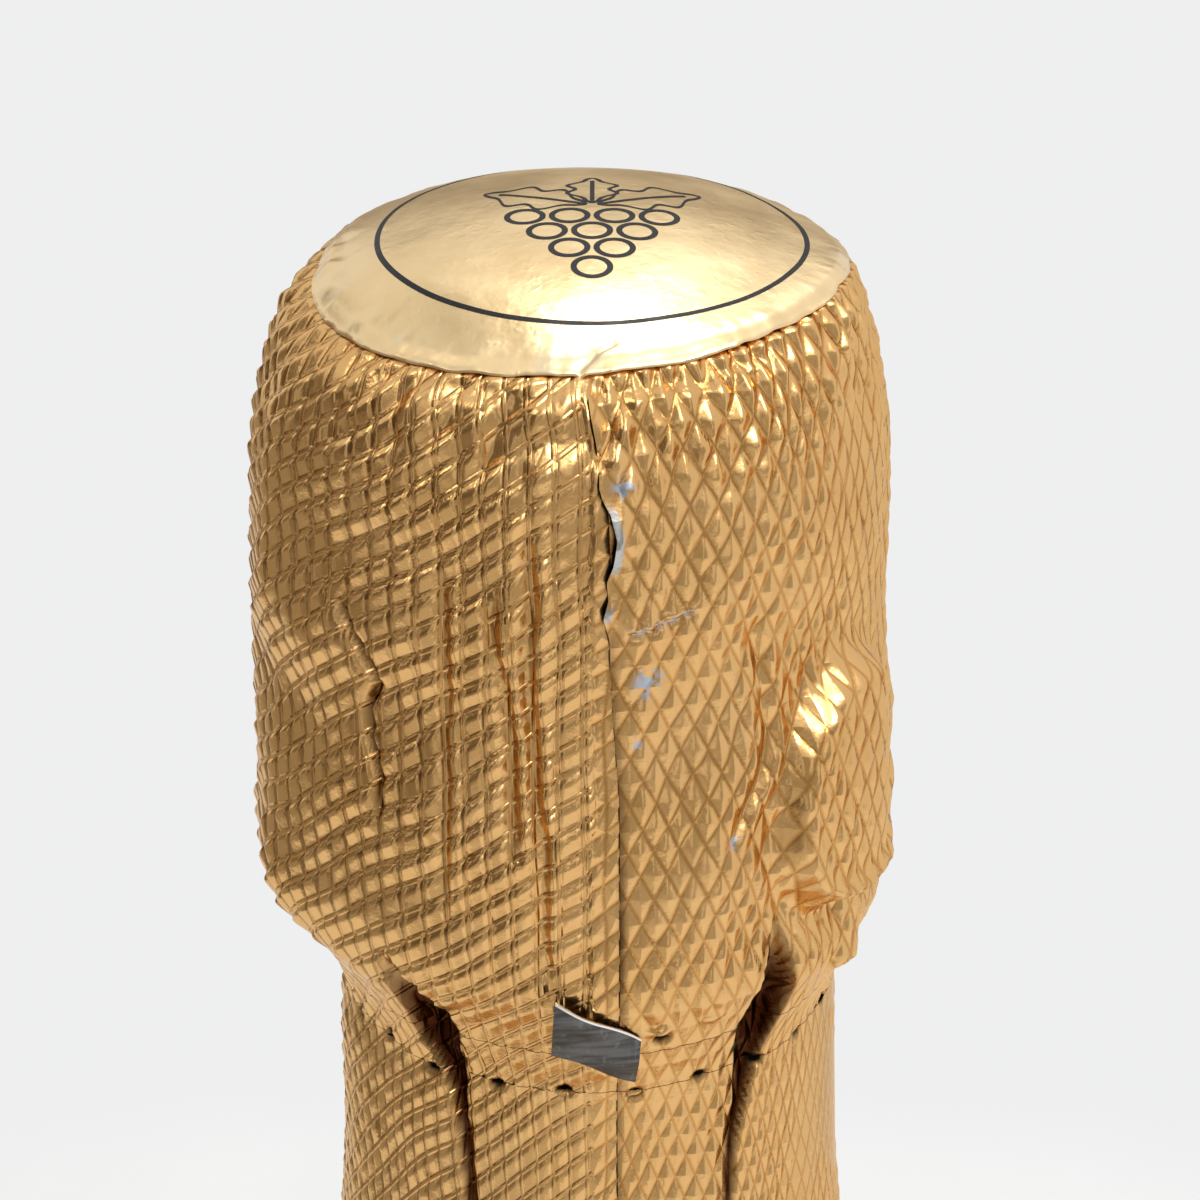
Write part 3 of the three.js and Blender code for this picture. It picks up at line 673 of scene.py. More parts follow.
LEG_STOPS = (
    (13.6, PLATE_RIM + 0.5),
    (15.3, CORK_TOP - 0.9),
    (16.15, CORK_TOP - 4.0),
    (16.15, LIP_HEIGHT + 0.5),
    (16.7, LIP_HEIGHT - 14.6),
    (16.7, LIP_HEIGHT - 20.0),
    (16.4, BELT_HEIGHT - 0.2),
)


def seam_turn(drop):
    return np.interp(drop, *zip(*SEAM_TURN))


def arc(azimuth, middle, radius):
    """Distance along the foil, in mm, from a middle azimuth."""
    return np.radians((azimuth - middle + 180.0) % 360.0 - 180.0) * radius


def front_fill(azimuth, drop, radius):
    """In front the foil draws in towards the neck more gently than at the sides."""
    return 1.1 * hump(arc(azimuth, 2.0, radius), 8.0) * hump(drop - 42.8, 4.2)


def pleat(azimuth, drop, route, radius, side):
    """A folded pleat below the bulge: a raised flap edge, and where shadow is painted in the dark opening beside it."""
    drops, turns = zip(*route)
    along = step_up(drop, drops[0] - 1.0, drops[0] + 4.0)
    gap = side * arc(azimuth, smooth_through(drops, turns, drop), radius)
    open_width = 0.2 + 2.0 * hump(drop - 40.6, 3.9)
    within = (1 - step_up(gap, open_width, open_width + 0.4)) * along * (1 - step_up(drop, 66.0, 82.0))
    flap = (1 - step_up(gap, -0.12, 0.06)) * step_up(gap, -7.0, -0.4) * along
    flap = flap * (1 - step_up(drop, 72.0, 104.0))
    depth = np.clip(radius - INNER_RADIUS - 0.5, 0.25, 1.2)
    # Painted shadow: the second value returned marks the dark opening beside the flap, with a wider, softer edge higher
    # up
    shade = 0.5 - 0.38 * step_up(drop, 42.0, 47.0)
    return 0.6 * flap - depth * step_up(gap, 0.0, 0.2) * within, step_up(gap, -shade, 0.05) * within


def emboss(azimuth, drop, pitch):
    """Crossed embossing on a sheet cut as part of a ring: pitch coordinates along two line sets."""
    turn = np.radians(azimuth) * SHEET_TWIST
    radius = SHEET_RADIUS + drop
    x = radius * np.sin(turn)
    y = SHEET_RADIUS - radius * np.cos(turn)
    lean = math.radians(30.0)
    first = (x * math.cos(lean) - y * math.sin(lean)) / pitch
    second = (x * math.cos(lean) + y * math.sin(lean)) / pitch
    return first, second


def foil_over_loop(radius, azimuth, drop, base):
    """The oval of the folded-up loop showing through, with the shank below it."""
    side = arc(azimuth, LOOP_AZIMUTH - 3.0, base)
    up = (drop - 26.9) / 6.9
    low = step_up(up, -0.5, 0.8) * (0.4 + 0.6 * step_up(side, -5.5, -1.5))
    square = 2.0 + low
    oval = (np.abs(side / 5.9) ** square + np.abs(up) ** square) ** (1 / square)
    soft = 0.22 * (1 - step_up(side, -4.5, 0.5)) * step_up(up, 0.0, 0.6)
    raised = 1.4 * (1 - step_up(oval, 0.84 + 0.1 * low, 1.14 - 0.07 * low + soft))
    raised = raised + (0.15 + 0.6 * low) * hump(oval - 0.95, 0.09)
    raised = raised * (1 - 0.4 * step_up(side, 2.0, 5.5)) - 0.3 * hump(side - 6.2, 1.8) * hump(drop - 31.8, 1.2)
    hollow = (0.28 + 0.2 * step_up(up, 0.55, 0.95)) * hump(oval - 1.25, 0.14) * (1 - step_up(drop, 37.0, 41.0))
    shank = step_up(drop, 30.0, 33.0) * (1 - step_up(drop, 39.4, 41.2))
    tent = SHANK_COVER - 0.2 * np.square(arc(azimuth, LOOP_AZIMUTH, base)) - 4.0 * (1 - shank)
    rim = hump(oval - 1.04, 0.12) * (0.45 + 0.45 * low)
    return np.maximum(radius + raised - hollow, tent), rim


def foil_folds(radius, azimuth, drop, base):
    """Upright folds in front and the kinked crease on the left, with a mask for painted shadow along that crease."""
    smooth = np.zeros_like(radius)
    for top, bottom, start, end, height in UPRIGHT_FOLDS:
        middle = top + (bottom - top) * np.clip((drop - start) / (end - start), 0, 1)
        gap = arc(azimuth, middle + 0.8 * ripple(drop / 3.0, drop * 0 + top, 19), base)
        window = step_up(drop, start - 3, start + 2) * (1 - step_up(drop, end - 4, end))
        valley = hump(gap + 0.75, 0.42)
        radius = radius + height * window * (hump(gap, 0.38) - 1.05 * valley)
        smooth = np.maximum(smooth, valley * window)
    drops, turns = zip(*RIGHT_CREASE)
    gap = arc(azimuth, smooth_through(drops, turns, drop), base)
    window = step_up(drop, 13.5, 17.0) * (1 - step_up(drop, 26.0, 29.0))
    radius = radius + window * (0.2 * hump(gap - 0.9, 0.6) - 0.42 * hump(gap, 0.5))
    crease_drops, crease_turns = zip(*LEFT_CREASE)
    gap = arc(azimuth, np.interp(drop, crease_drops, crease_turns), base)
    window = step_up(drop, 13.5, 15.5) * (1 - step_up(drop, 25.5, 28.0))
    radius = radius + window * (0.22 * hump(gap + 0.9, 0.8) - 0.6 * hump(gap, 0.24))
    smooth = np.maximum(smooth, 0.9 * window * hump(gap + 0.5, 0.75))
    # The last value marks painted shadow along the left crease
    return radius, smooth, window * hump(gap, 0.22)


def foil_over_legs(radius, azimuth, drop, base):
    """Foil drawn over the four twisted legs, never under them."""
    hood = step_up(drop, 0.5, 5.0) * (1 - step_up(drop, 36.0, 41.0))
    cover = step_up(drop, 0.5, 5.0) * (1 - step_up(drop, 39.4, 41.0))
    radii, heights = zip(*LEG_STOPS)
    leg_radius = np.interp(-drop, np.array(heights)[::-1] - RIM_HEIGHT, radii[::-1]) + LEG_COVER
    for leg in LEG_AZIMUTHS:
        gap = arc(azimuth, leg, base)
        tent = leg_radius - 0.16 * gap * gap - 4.0 * (1 - cover)
        radius = np.maximum(radius + 0.3 * hump(gap, 1.9) * hood, tent)
    return radius


def per_cell(i, j, seed):
    """One seeded number between -1 and 1 for each embossed cell."""
    lattice = np.random.default_rng(seed).uniform(-1, 1, (64, 64))
    return lattice[i.astype(int) % 64, j.astype(int) % 64]


def emboss_relief(first, second, ridges, flatness):
    """Raised diamonds, each a little askew, passing into woven rows between thin cords."""
    i, j = np.floor(first), np.floor(second)
    u, v = first - i, second - j
    across, along = 0.5 - np.abs(u - 0.5), 0.5 - np.abs(v - 0.5)
    nearest = np.minimum(across, along)
    askew = per_cell(i, j, 32) * (u - 0.5) + per_cell(i, j, 33) * (v - 0.5)
    diamond = (2 * nearest) ** 0.85 * (1 - flatness) + 0.6 * step_up(nearest, 0.01, 0.2) * flatness
    diamond = diamond * (0.85 + 0.2 * per_cell(i, j, 34)) + 0.7 * askew * step_up(nearest, 0.0, 0.2)
    grooves = 1 - step_up(along, 0.02, 0.17)
    rows = np.interp(u, (0.0, 0.06, 0.24, 0.34, 1.0), (0.05, 0.1, 0.95, 1.0, 0.0)) * (1 + 0.25 * per_cell(i, j, 35))
    woven = 0.9 * rows * (1 - 0.7 * grooves) - 0.25 * grooves + 0.35 * askew
    return diamond * (1 - ridges) + woven * ridges


def foil_sheet(azimuth, drop, calm):
    """Radius and finish values of the pressed-on foil at azimuths from the seam round to its lap."""
    settings = bpy.context.scene.capsule_settings
    drops, radii, slack = zip(*FOIL_OUTLINE)
    base = smooth_through(drops, radii, drop)
    radius = base - smooth_through(drops, slack, drop) * np.sin(np.radians(azimuth)) + front_fill(azimuth, drop, base)
    hood = step_up(drop, 0.5, 5.0) * (1 - step_up(drop, 36.0, 43.0))
    around_mm = np.radians(azimuth % 360.0) * 18.0
    radius, smooth, crease = foil_folds(radius, azimuth, drop, base)

    dents = ripple(around_mm / 7.5, drop / 9.0 + 7, 11) + 0.5 * ripple(around_mm / 3.4, drop / 4.6, 12)
    sharp = 1 - 2 * np.abs(ripple(around_mm / 6.2 + 3, drop / 11.0, 13))
    radius = radius + settings.crumple * (0.55 * dents + 0.35 * sharp) * (0.25 + 0.75 * hood)
    for turn, depth, wide, tall, push in BROAD_DENTS:
        radius = radius + push * hump(arc(azimuth, turn, base), wide) * hump(drop - depth, tall)
    radius, rim = foil_over_loop(radius, azimuth, drop, base)
    smooth = np.maximum(smooth, rim)
    radius = foil_over_legs(radius, azimuth, drop, base)

    gather_side = hump(arc(azimuth, -11.0, base), 6.5)
    gather = (1 - step_up(drop, 3.0, 8.5)) * step_up(drop, 0.4, 1.2)
    folds = 0.8 * ripple(around_mm / 1.6, drop / 4.5 + 2, 14) + 1.1 * facets(around_mm / 1.3, drop / 1.5, 15)
    radius = radius + gather * (0.14 + 0.42 * gather_side) * folds
    over_edge = OVER_EDGE_DROP + 0.3 * ripple(around_mm / 2.5, around_mm * 0, 20)
    edge_side = step_up(azimuth, 0.5, 1.5) * (1 - step_up(azimuth, 34.0, 46.0))
    radius = radius - 0.3 * edge_side * (1 - step_up(drop, over_edge - 0.05, over_edge + 0.1))

    # Painted shadow: masks of dark shade along the left crease and in the pleat openings, which also calm the embossing
    # there
    gap_shade = crease
    for route, way in ((LEFT_SLIT, 1.0), (RIGHT_SLIT, -1.0)):
        lift, dark = pleat(azimuth, drop, route, base, way)
        radius = radius + lift
        gap_shade = np.maximum(gap_shade, dark)

    ridges = step_up(azimuth % 360.0, 120.0, 300.0)
    wander = (1.2 - 0.5 * ridges) * ripple(around_mm / 5.0, drop / 5.0, 18)
    wander = wander + 0.45 * (1 - ridges) * ripple(around_mm / 2.3, drop / 2.3, 36)
    first, second = emboss(azimuth + wander, drop + 0.3 * wander, settings.emboss_pitch)
    radius = radius + 0.16 * facets(around_mm / 3.6, drop / 4.6, 37) * (1 - ridges) * hood * calm
    flat = (1 - 0.5 * gather * gather_side) * (1 - 0.7 * gap_shade) * (1 - 0.85 * smooth)
    flat = flat * (1 - 0.45 * hump(drop - 40.8, 2.6) - 0.3 * step_up(drop, 42.0, 46.0))
    press = 0.85 + 0.3 * ripple(around_mm / 9.0, drop / 9.0, 16)
    flatness = 0.1 + 0.1 * step_up(drop, 7.0, 20.0)
    press = press * (1.15 + (0.5 - 0.75 * step_up(drop, 4.0, 9.0)) * (1 - ridges))
    radius = radius + settings.emboss_depth * calm * emboss_relief(first, second, ridges, flatness) * flat * press

    worn = np.zeros_like(radius)
    for turn, depth, size in RUBBED_SPOTS:
        spot = np.hypot(arc(azimuth, turn, base), drop - depth)
        worn = np.maximum(worn, 1 - step_up(spot, size * 0.4, size * 1.3))
    torn_turns, torn_drops = zip(*TORN_LINE)
    torn = drop - np.interp(azimuth, torn_turns, torn_drops) - 0.25 * ripple(around_mm * 1.3, around_mm * 0, 29)
    torn_side = step_up(azimuth, torn_turns[0] - 1, torn_turns[0]) * (1 - step_up(azimuth, torn_turns[-1], torn_turns[-1] + 1))
    radius = radius + torn_side * (0.22 * hump(torn + 0.22, 0.2) - 0.3 * hump(torn - 0.12, 0.14))
    worn = np.maximum(worn, torn_side * hump(torn, 0.2))
    sheet = np.stack([first, second, np.zeros_like(first)], -1)
    return radius, {"sheet": sheet, "ridges": ridges, "worn": worn, "gap_shade": gap_shade}


def prick(azimuth, drop, row_drop, radius):
    """Holes of the perforation line at one depth below the rim: 1 inside a hole."""
    turn = (azimuth - PERFORATION_START) / PERFORATION_STEP
    index = np.round(turn)
    across = (turn - index) * np.radians(PERFORATION_STEP) * radius
    wander = 0.35 * ripple(index * 3.7, index * 0.0, 17)
    return 1 - step_up(np.hypot(across / 1.25, drop - row_drop - wander), 0.3, 0.46)


def seam_pout(drop):
    """Where the lapped edge gapes: one long crescent and a notch below it."""
    return hump(drop - 8.5, 1.6) + 0.4 * hump(drop - 12.8, 0.6)


def seam_calm(turn, drop, base):
    """The embossing is pressed flat along both sides of the lapped edge."""
    from_edge = np.radians(np.where(turn < 180.0, turn, turn - 360.0)) * base
    beside = hump(from_edge + 1.4, 1.5) * hump(drop - 8.6, 2.6)
    return (1 - 0.9 * hump(from_edge, 0.6)) * (1 - 0.8 * step_up(turn, 360.0, 362.0)) * (1 - 0.8 * beside)


def seam_lift(turn, drop, base):
    """How the lapped edge stands up: a thin step, with one long pout near the top."""
    from_edge = np.radians(turn) * base
    edge = (0.12 - 0.07 * step_up(drop, 13.0, 17.0)) * (1 - step_up(from_edge, 1.2, 4.5))
    edge = edge + 0.6 * seam_pout(drop) * (1 - step_up(from_edge, 0.1, 1.2))
    before = np.radians(360.0 - turn) * base
    sunk = 0.25 - 0.17 * step_up(drop, 13.5, 16.0)
    under = -0.05 * (1 - step_up(before, 0.0, 0.8)) - sunk * (1 - step_up(before, -0.6, 0.0))
    return edge + under


def seam_marks(turn, drop, base):
    """The pale lining at the pouting edge, and painted shadow: a dark line in the gap under it and softer shade beside
    the edge lower down.
    """
    from_edge = np.radians(turn) * base
    pout = seam_pout(drop)
    lining = (1 - step_up(from_edge, 0.3, 0.5)) * step_up(pout, 0.15, 0.4)
    before = (360.0 - turn) * np.radians(base)
    # Painted shadow: a dark line in the gap under the edge, and softer shade beside it
    gap = 1 - step_up(before, 0.05, 0.15 + 0.2 * pout)
    line = (0.15 + 0.85 * step_up(pout, 0.08, 0.3)) * gap
    soft = (0.5 + 0.4 * hump(drop - 33.0, 4.5)) * hump(from_edge, 0.32) * step_up(drop, 13.0, 16.0)
    return lining, np.maximum(line, soft)


def sheet_columns(fine, coarse):
    """Turns from the seam's edge right round to the end of its lap, closer together in front."""
    front_right = np.linspace(0, 105, fine, endpoint=False)
    back = np.linspace(105, 255, coarse, endpoint=False)
    front_left = np.linspace(255, 360 + SEAM_LAP, fine)
    return np.concatenate([front_right, back, front_left])


def rim_tilt(x, y):
    """How much higher the edge of the top is over a point: up towards +X, and only in front."""
    return TOP_TILT * x * step_up(np.hypot(x, y), TILT_REACH, RIM_RADIUS) * (1 - step_up(y, -6.0, 8.0))


def lean_top(points):
    """Takes the edge of the foil with the top, which sits askew and a little to the left."""
    below = step_up(points[..., 2], RIM_HEIGHT - 14.0, RIM_HEIGHT)
    near = step_up(points[..., 2], RIM_HEIGHT - 5.0, RIM_HEIGHT)
    points[..., 2] += rim_tilt(points[..., 0], points[..., 1]) * below
    points[..., 0] -= TOP_SHIFT * near
    return points


def foil_grid(turn, drop):
    """A lapped stretch of the capsule as a grid, with its finish values."""
    drop, turn = np.meshgrid(drop, turn, indexing="ij")
    azimuth = turn + seam_turn(drop)
    radius, values = foil_sheet(azimuth, drop, seam_calm(turn, drop, 17.5))
    radius = radius + seam_lift(turn, drop, 17.5)
    values["lining"], gap = seam_marks(turn, drop, 17.5)
    # The seam's painted shadow joins the painted shade of the pleats and crease
    values["gap_shade"] = np.maximum(values["gap_shade"], gap)
    # Holes of the perforation line and at the root of the tab, painted near black as painted shade; the foil is only
    # pressed in there, not cut
    holes = prick(azimuth, drop, RIM_HEIGHT - STRIP_BOTTOM + 0.15, 15.4)
    root = np.hypot(arc(azimuth, ROOT_TURN, 16.0) / 1.6, drop - ROOT_DROP)
    holes = np.maximum(holes, 1 - step_up(root, 0.22, 0.4))
    curl = hump(arc(azimuth, ROOT_TURN - 0.8, 16.0), 0.6) * hump(drop - ROOT_DROP + 0.65, 0.3)
    radius = radius - 0.3 * holes + 0.4 * curl
    points = lean_top(around(radius, azimuth, RIM_HEIGHT - drop))
    return Grid(points, **values, hole=holes)


def disc_height(x, y):
    """Height of the smooth top disc over a point."""
    radius = np.hypot(x, y)
    turn = np.degrees(np.arctan2(x, -y))
    share = np.clip(radius / RIM_RADIUS, 0, 1)
    height = RIM_HEIGHT + 0.25 + TOP_RISE * (1 - share**TOP_CURVE)
    height = height + rim_tilt(x, y)
    height = height + 0.02 * ripple(x / 2.2 + 9, y / 2.2, 21) + 0.06 * ripple(x / 5.5, y / 5.5, 22)
    edge = step_up(radius, 12.2, 15.0)
    pucker = ripple(turn / 5.5 + 40, radius / 2.5, 23) + 0.6 * ripple(turn / 2.1 + 90, radius / 1.6, 24)
    height = height + 0.08 * edge * pucker
    crushed = hump((turn + 78.0) / 26.0, 1.0) * step_up(radius, 12.6, 14.2)
    height = height + 0.3 * crushed * facets(turn / 7.0 + 30, radius / 1.1, 30)
    crack = hump(arc(turn, 2.0 + 6 * ripple(radius * 1.4, radius * 0, 25), radius), 0.22)
    height = height - 0.22 * crack * step_up(radius, 12.9, 14.4)
    return height - 0.25 * step_up(radius, RIM_RADIUS - 0.8, RIM_RADIUS)


class BottleOperator:
    """What every operator here shares."""

    bl_options = {"REGISTER", "UNDO"}


class BOTTLE_OT_hood(BottleOperator, bpy.types.Operator):
    """Embossed foil over the stopper and the wire cage"""

    bl_idname = "bottle.hood"
    bl_label = "Foil hood"

    def execute(self, context):
        bottom = RIM_HEIGHT - HOOD_BOTTOM + 0.15
        top = np.linspace(0.25, 9.0, 44, endpoint=False)
        drop = np.concatenate([top, np.linspace(9.0, bottom, 142)])[::-1]
        grid = foil_grid(sheet_columns(196, 132), drop)
        tuck = grid.points[-1:] * (0.93, 0.93, 1.0) + (0, 0, 0.12)
        grid.points = np.concatenate([grid.points, tuck])
        for key, value in grid.values.items():
            grid.values[key] = np.concatenate([value, value[-1:]])
        mesh = mesh_of("capsule_hood_foil", [grid], sharp=180.0)
        place(mesh, foil_finish(), "hood", "foil_embossed", "capsule_hood")
        return {"FINISHED"}


class BOTTLE_OT_top(BottleOperator, bpy.types.Operator):
    """Smooth domed disc with its printed ring and a plain bunch of grapes"""

    bl_idname = "bottle.top"
    bl_label = "Top disc"

    def on_disc(self, x, y, lift=0.02):
        return np.stack([x - TOP_SHIFT, y, disc_height(x, y) + lift], -1)

    def disc(self):
        turn = np.arange(420)[None, :] * 360.0 / 420
        share = np.linspace(0, 1, 80)[:, None] ** 0.8
        wavy = 1 + 0.007 * ripple(turn / 9.0, turn * 0, 26) + 0.003 * ripple(turn / 3.0, turn * 0, 27)
        radius = RIM_RADIUS * share * (1 + (wavy - 1) * step_up(share, 0.85, 1.0))
        x = radius * np.sin(np.radians(turn))
        y = -radius * np.cos(np.radians(turn))
        points = self.on_disc(x, y, 0.0)[::-1]
        edge = points[:1] - (0, 0, 0.14)
        inside = points[:1] * (0.96, 0.96, 1.0) - (0.04 * TOP_SHIFT, 0, 0.12)
        points = np.concatenate([inside, edge, points])
        spots = ripple(points[..., 0] / 1.3, points[..., 1] / 1.3, 28)
        radius = np.hypot(points[..., 0] + TOP_SHIFT, points[..., 1])
        worn = step_up(spots, 0.45, 0.8) * step_up(radius, 12.5, 14.8)
        return Grid(points, closed=True, worn=worn)

    def ring(self, x, y, middle, width, sides):
        turn = np.arange(sides)[None, :] * 2 * np.pi / sides
        radius = middle + width * np.array([0.5, 0.17, -0.17, -0.5])[:, None]
        return Grid(self.on_disc(x + radius * np.sin(turn), y - radius * np.cos(turn)), closed=True)

    def leaf(self, x, y, length, angle):
        """A lobed leaf drawn with two outlines and a midrib."""
        along = np.linspace(0, 1, 36)[None, :]
        width = 0.32 * length * np.sin(np.pi * along) * (0.8 + 0.2 * np.cos(6 * np.pi * along))
        turn = math.radians(angle)
        strokes = []
        for side, reach in ((-1, 1.0), (0, 0.85), (1, 1.0)):
            v = side * width + np.array([-0.13, 0.0, 0.13])[:, None]
            u = length * reach * along + 0 * v
            over = x + u * math.cos(turn) - v * math.sin(turn)
            up = y + u * math.sin(turn) + v * math.cos(turn)
            strokes.append(Grid(self.on_disc(over, up)))
        return strokes

    def execute(self, context):
        place(mesh_of("capsule_top_disc", [self.disc()], weld=True, sharp=60), disc_finish(), "hood", "foil_plain", "capsule_top")
        marks = [self.ring(PRINT_X, 0.0, 12.05, 0.3, 300)]
        pitch = 2.5
        for row, count in enumerate((4, 3, 2, 1)):
            for i in range(count):
                x = PRINT_X + (i - (count - 1) / 2) * pitch
                marks.append(self.ring(x, -0.6 - row * pitch * 0.87, 1.0, 0.34, 40))
        marks += self.leaf(PRINT_X + 0.3, 1.2, 6.4, 24.0)
        marks += self.leaf(PRINT_X - 0.3, 1.2, 6.4, 156.0)
        marks += self.leaf(PRINT_X, 1.4, 5.0, 90.0)
        place(mesh_of("capsule_top_print", marks, weld=True), print_finish(), "hood", "foil_plain")
        return {"FINISHED"}


class BOTTLE_OT_strip(BottleOperator, bpy.types.Operator):
    """Tear strip with its loose end"""

    bl_idname = "bottle.strip"
    bl_label = "Tear strip"

    def tab(self):
        across = np.linspace(0, 1, 28)[None, :]
        up = np.linspace(-1, 1, 17)[:, None]
        azimuth = 8.9 - 15.7 * across + (0.25 + 0.4 * across) * up
        middle = 41.7 - 3.1 * across
        drop = middle - (1.75 + 0.3 * across) * up - 0.12 * np.sin(7 * across) * up
        drops, radii, _ = zip(*FOIL_OUTLINE)
        ground = smooth_through(drops, radii, drop)
        ground = ground + front_fill(azimuth, drop, ground)
        stand = 0.55 + 0.6 * across**1.6 + 0.1 * ripple(across * 3, up * 1.5, 31) - 0.15 * up * up
        outer = around(ground + stand, azimuth, RIM_HEIGHT - drop)[:, ::-1]
        inner = around(ground + stand - 0.16, azimuth, RIM_HEIGHT - drop)[:, ::-1]
        # The top edge and a thin band of the outer face below it are marked for the bare cut edge and its painted
        # highlight
        return thin_plate(outer, inner, "cut_edge_and_highlight", step_up(up, 0.86, 0.97) + 0 * across, top_value=1.0)

    def execute(self, context):
        drop = np.linspace(RIM_HEIGHT - STRIP_TOP - 0.1, RIM_HEIGHT - STRIP_BOTTOM + 0.1, 18)[::-1]
        strip = mesh_of("tear_strip_foil", [foil_grid(sheet_columns(190, 120), drop)], sharp=180.0)
        place(strip, foil_finish(), "strip", "foil_embossed", "tear_strip")
        tab = mesh_of("tear_tab_strip", self.tab(), weld=True)
        place(tab, tab_finish(), "tab", "foil_grey", "tear_tab")
        return {"FINISHED"}


class BOTTLE_OT_skirt(BottleOperator, bpy.types.Operator):
    """Embossed foil down the neck"""

    bl_idname = "bottle.skirt"
    bl_label = "Foil skirt"

    def execute(self, context):
        top = RIM_HEIGHT - SKIRT_TOP - 0.15
        knee = RIM_HEIGHT - 248.0
        bottom = RIM_HEIGHT - SKIRT_BOTTOM
        drop = np.concatenate([np.linspace(top, knee, 96, endpoint=False), np.linspace(knee, bottom, 126)])[::-1]
        turn = sheet_columns(160, 110)
        upper = foil_grid(turn, drop)
        glass = np.array([glass_radius(RIM_HEIGHT - d) for d in drop])[:, None]
        share = step_up(drop, 50.0, 66.0)[:, None]
        radius = np.hypot(upper.points[..., 0], upper.points[..., 1])
        drops, radii, slack = zip(*FOIL_OUTLINE)
        azimuth = turn[None, :] + seam_turn(drop)[:, None]
        base = smooth_through(drops, radii, drop)[:, None]
        base = base - smooth_through(drops, slack, drop)[:, None] * np.sin(np.radians(azimuth))
        radius = np.maximum(radius + share * (glass + 0.55 - base), glass + 0.15)
        upper.points = around(radius, azimuth, upper.points[..., 2])
        mesh = mesh_of("capsule_skirt_foil", [upper], sharp=180.0)
        place(mesh, foil_finish(), "bottle", "foil_embossed", "capsule_skirt")
        return {"FINISHED"}


# Glass outline, the same curves as the solids

HEEL_RADIUS = 9.0
FOOT_WIDTH = 4.2
PUNT_DEPTH = 36.0
BASE_THICKNESS = 6.0
BODY_TOP = 123.5
BODY_WALL = 4.6
NECK_RADIUS = 14.2
NECK_FLARE = 1.2
NECK_FOOT = 238.0
RING_RADIUS = 15.8
RING_BOTTOM = 279.0
RING_TOP = 284.4
BORE_RADIUS = 8.75
BORE_WIDE = 9.5
EDGE = 0.8

SHOULDER = bezier(
    [
        (BODY_RADIUS, BODY_TOP),
        (BODY_RADIUS, BODY_TOP + 46),
        (NECK_RADIUS + 4 * NECK_FLARE, NECK_FOOT - 56),
        (NECK_RADIUS + NECK_FLARE, NECK_FOOT),
    ],
    40,
)
INNER_SHOULDER = bezier(
    [
        (BODY_RADIUS - BODY_WALL, BODY_TOP - BODY_WALL),
        (BODY_RADIUS - BODY_WALL, BODY_TOP + 46 - BODY_WALL),
        (BORE_WIDE + 3 * NECK_FLARE, NECK_FOOT - 56),
        (BORE_WIDE, NECK_FOOT),
    ],
    40,
)


def glass_radius(height):
    radii, heights = zip((BODY_RADIUS, HEEL_RADIUS), (BODY_RADIUS, BODY_TOP), *SHOULDER, (NECK_RADIUS, RING_BOTTOM))
    return float(np.interp(height, heights, radii))


def punt(raise_by, reach):
    corners = [(0, PUNT_DEPTH + raise_by), (reach / 2, PUNT_DEPTH + raise_by), (reach * 0.8, PUNT_DEPTH / 3 + raise_by)]
    return [(0, PUNT_DEPTH + raise_by), *bezier([*corners, (reach, raise_by)], 24)]


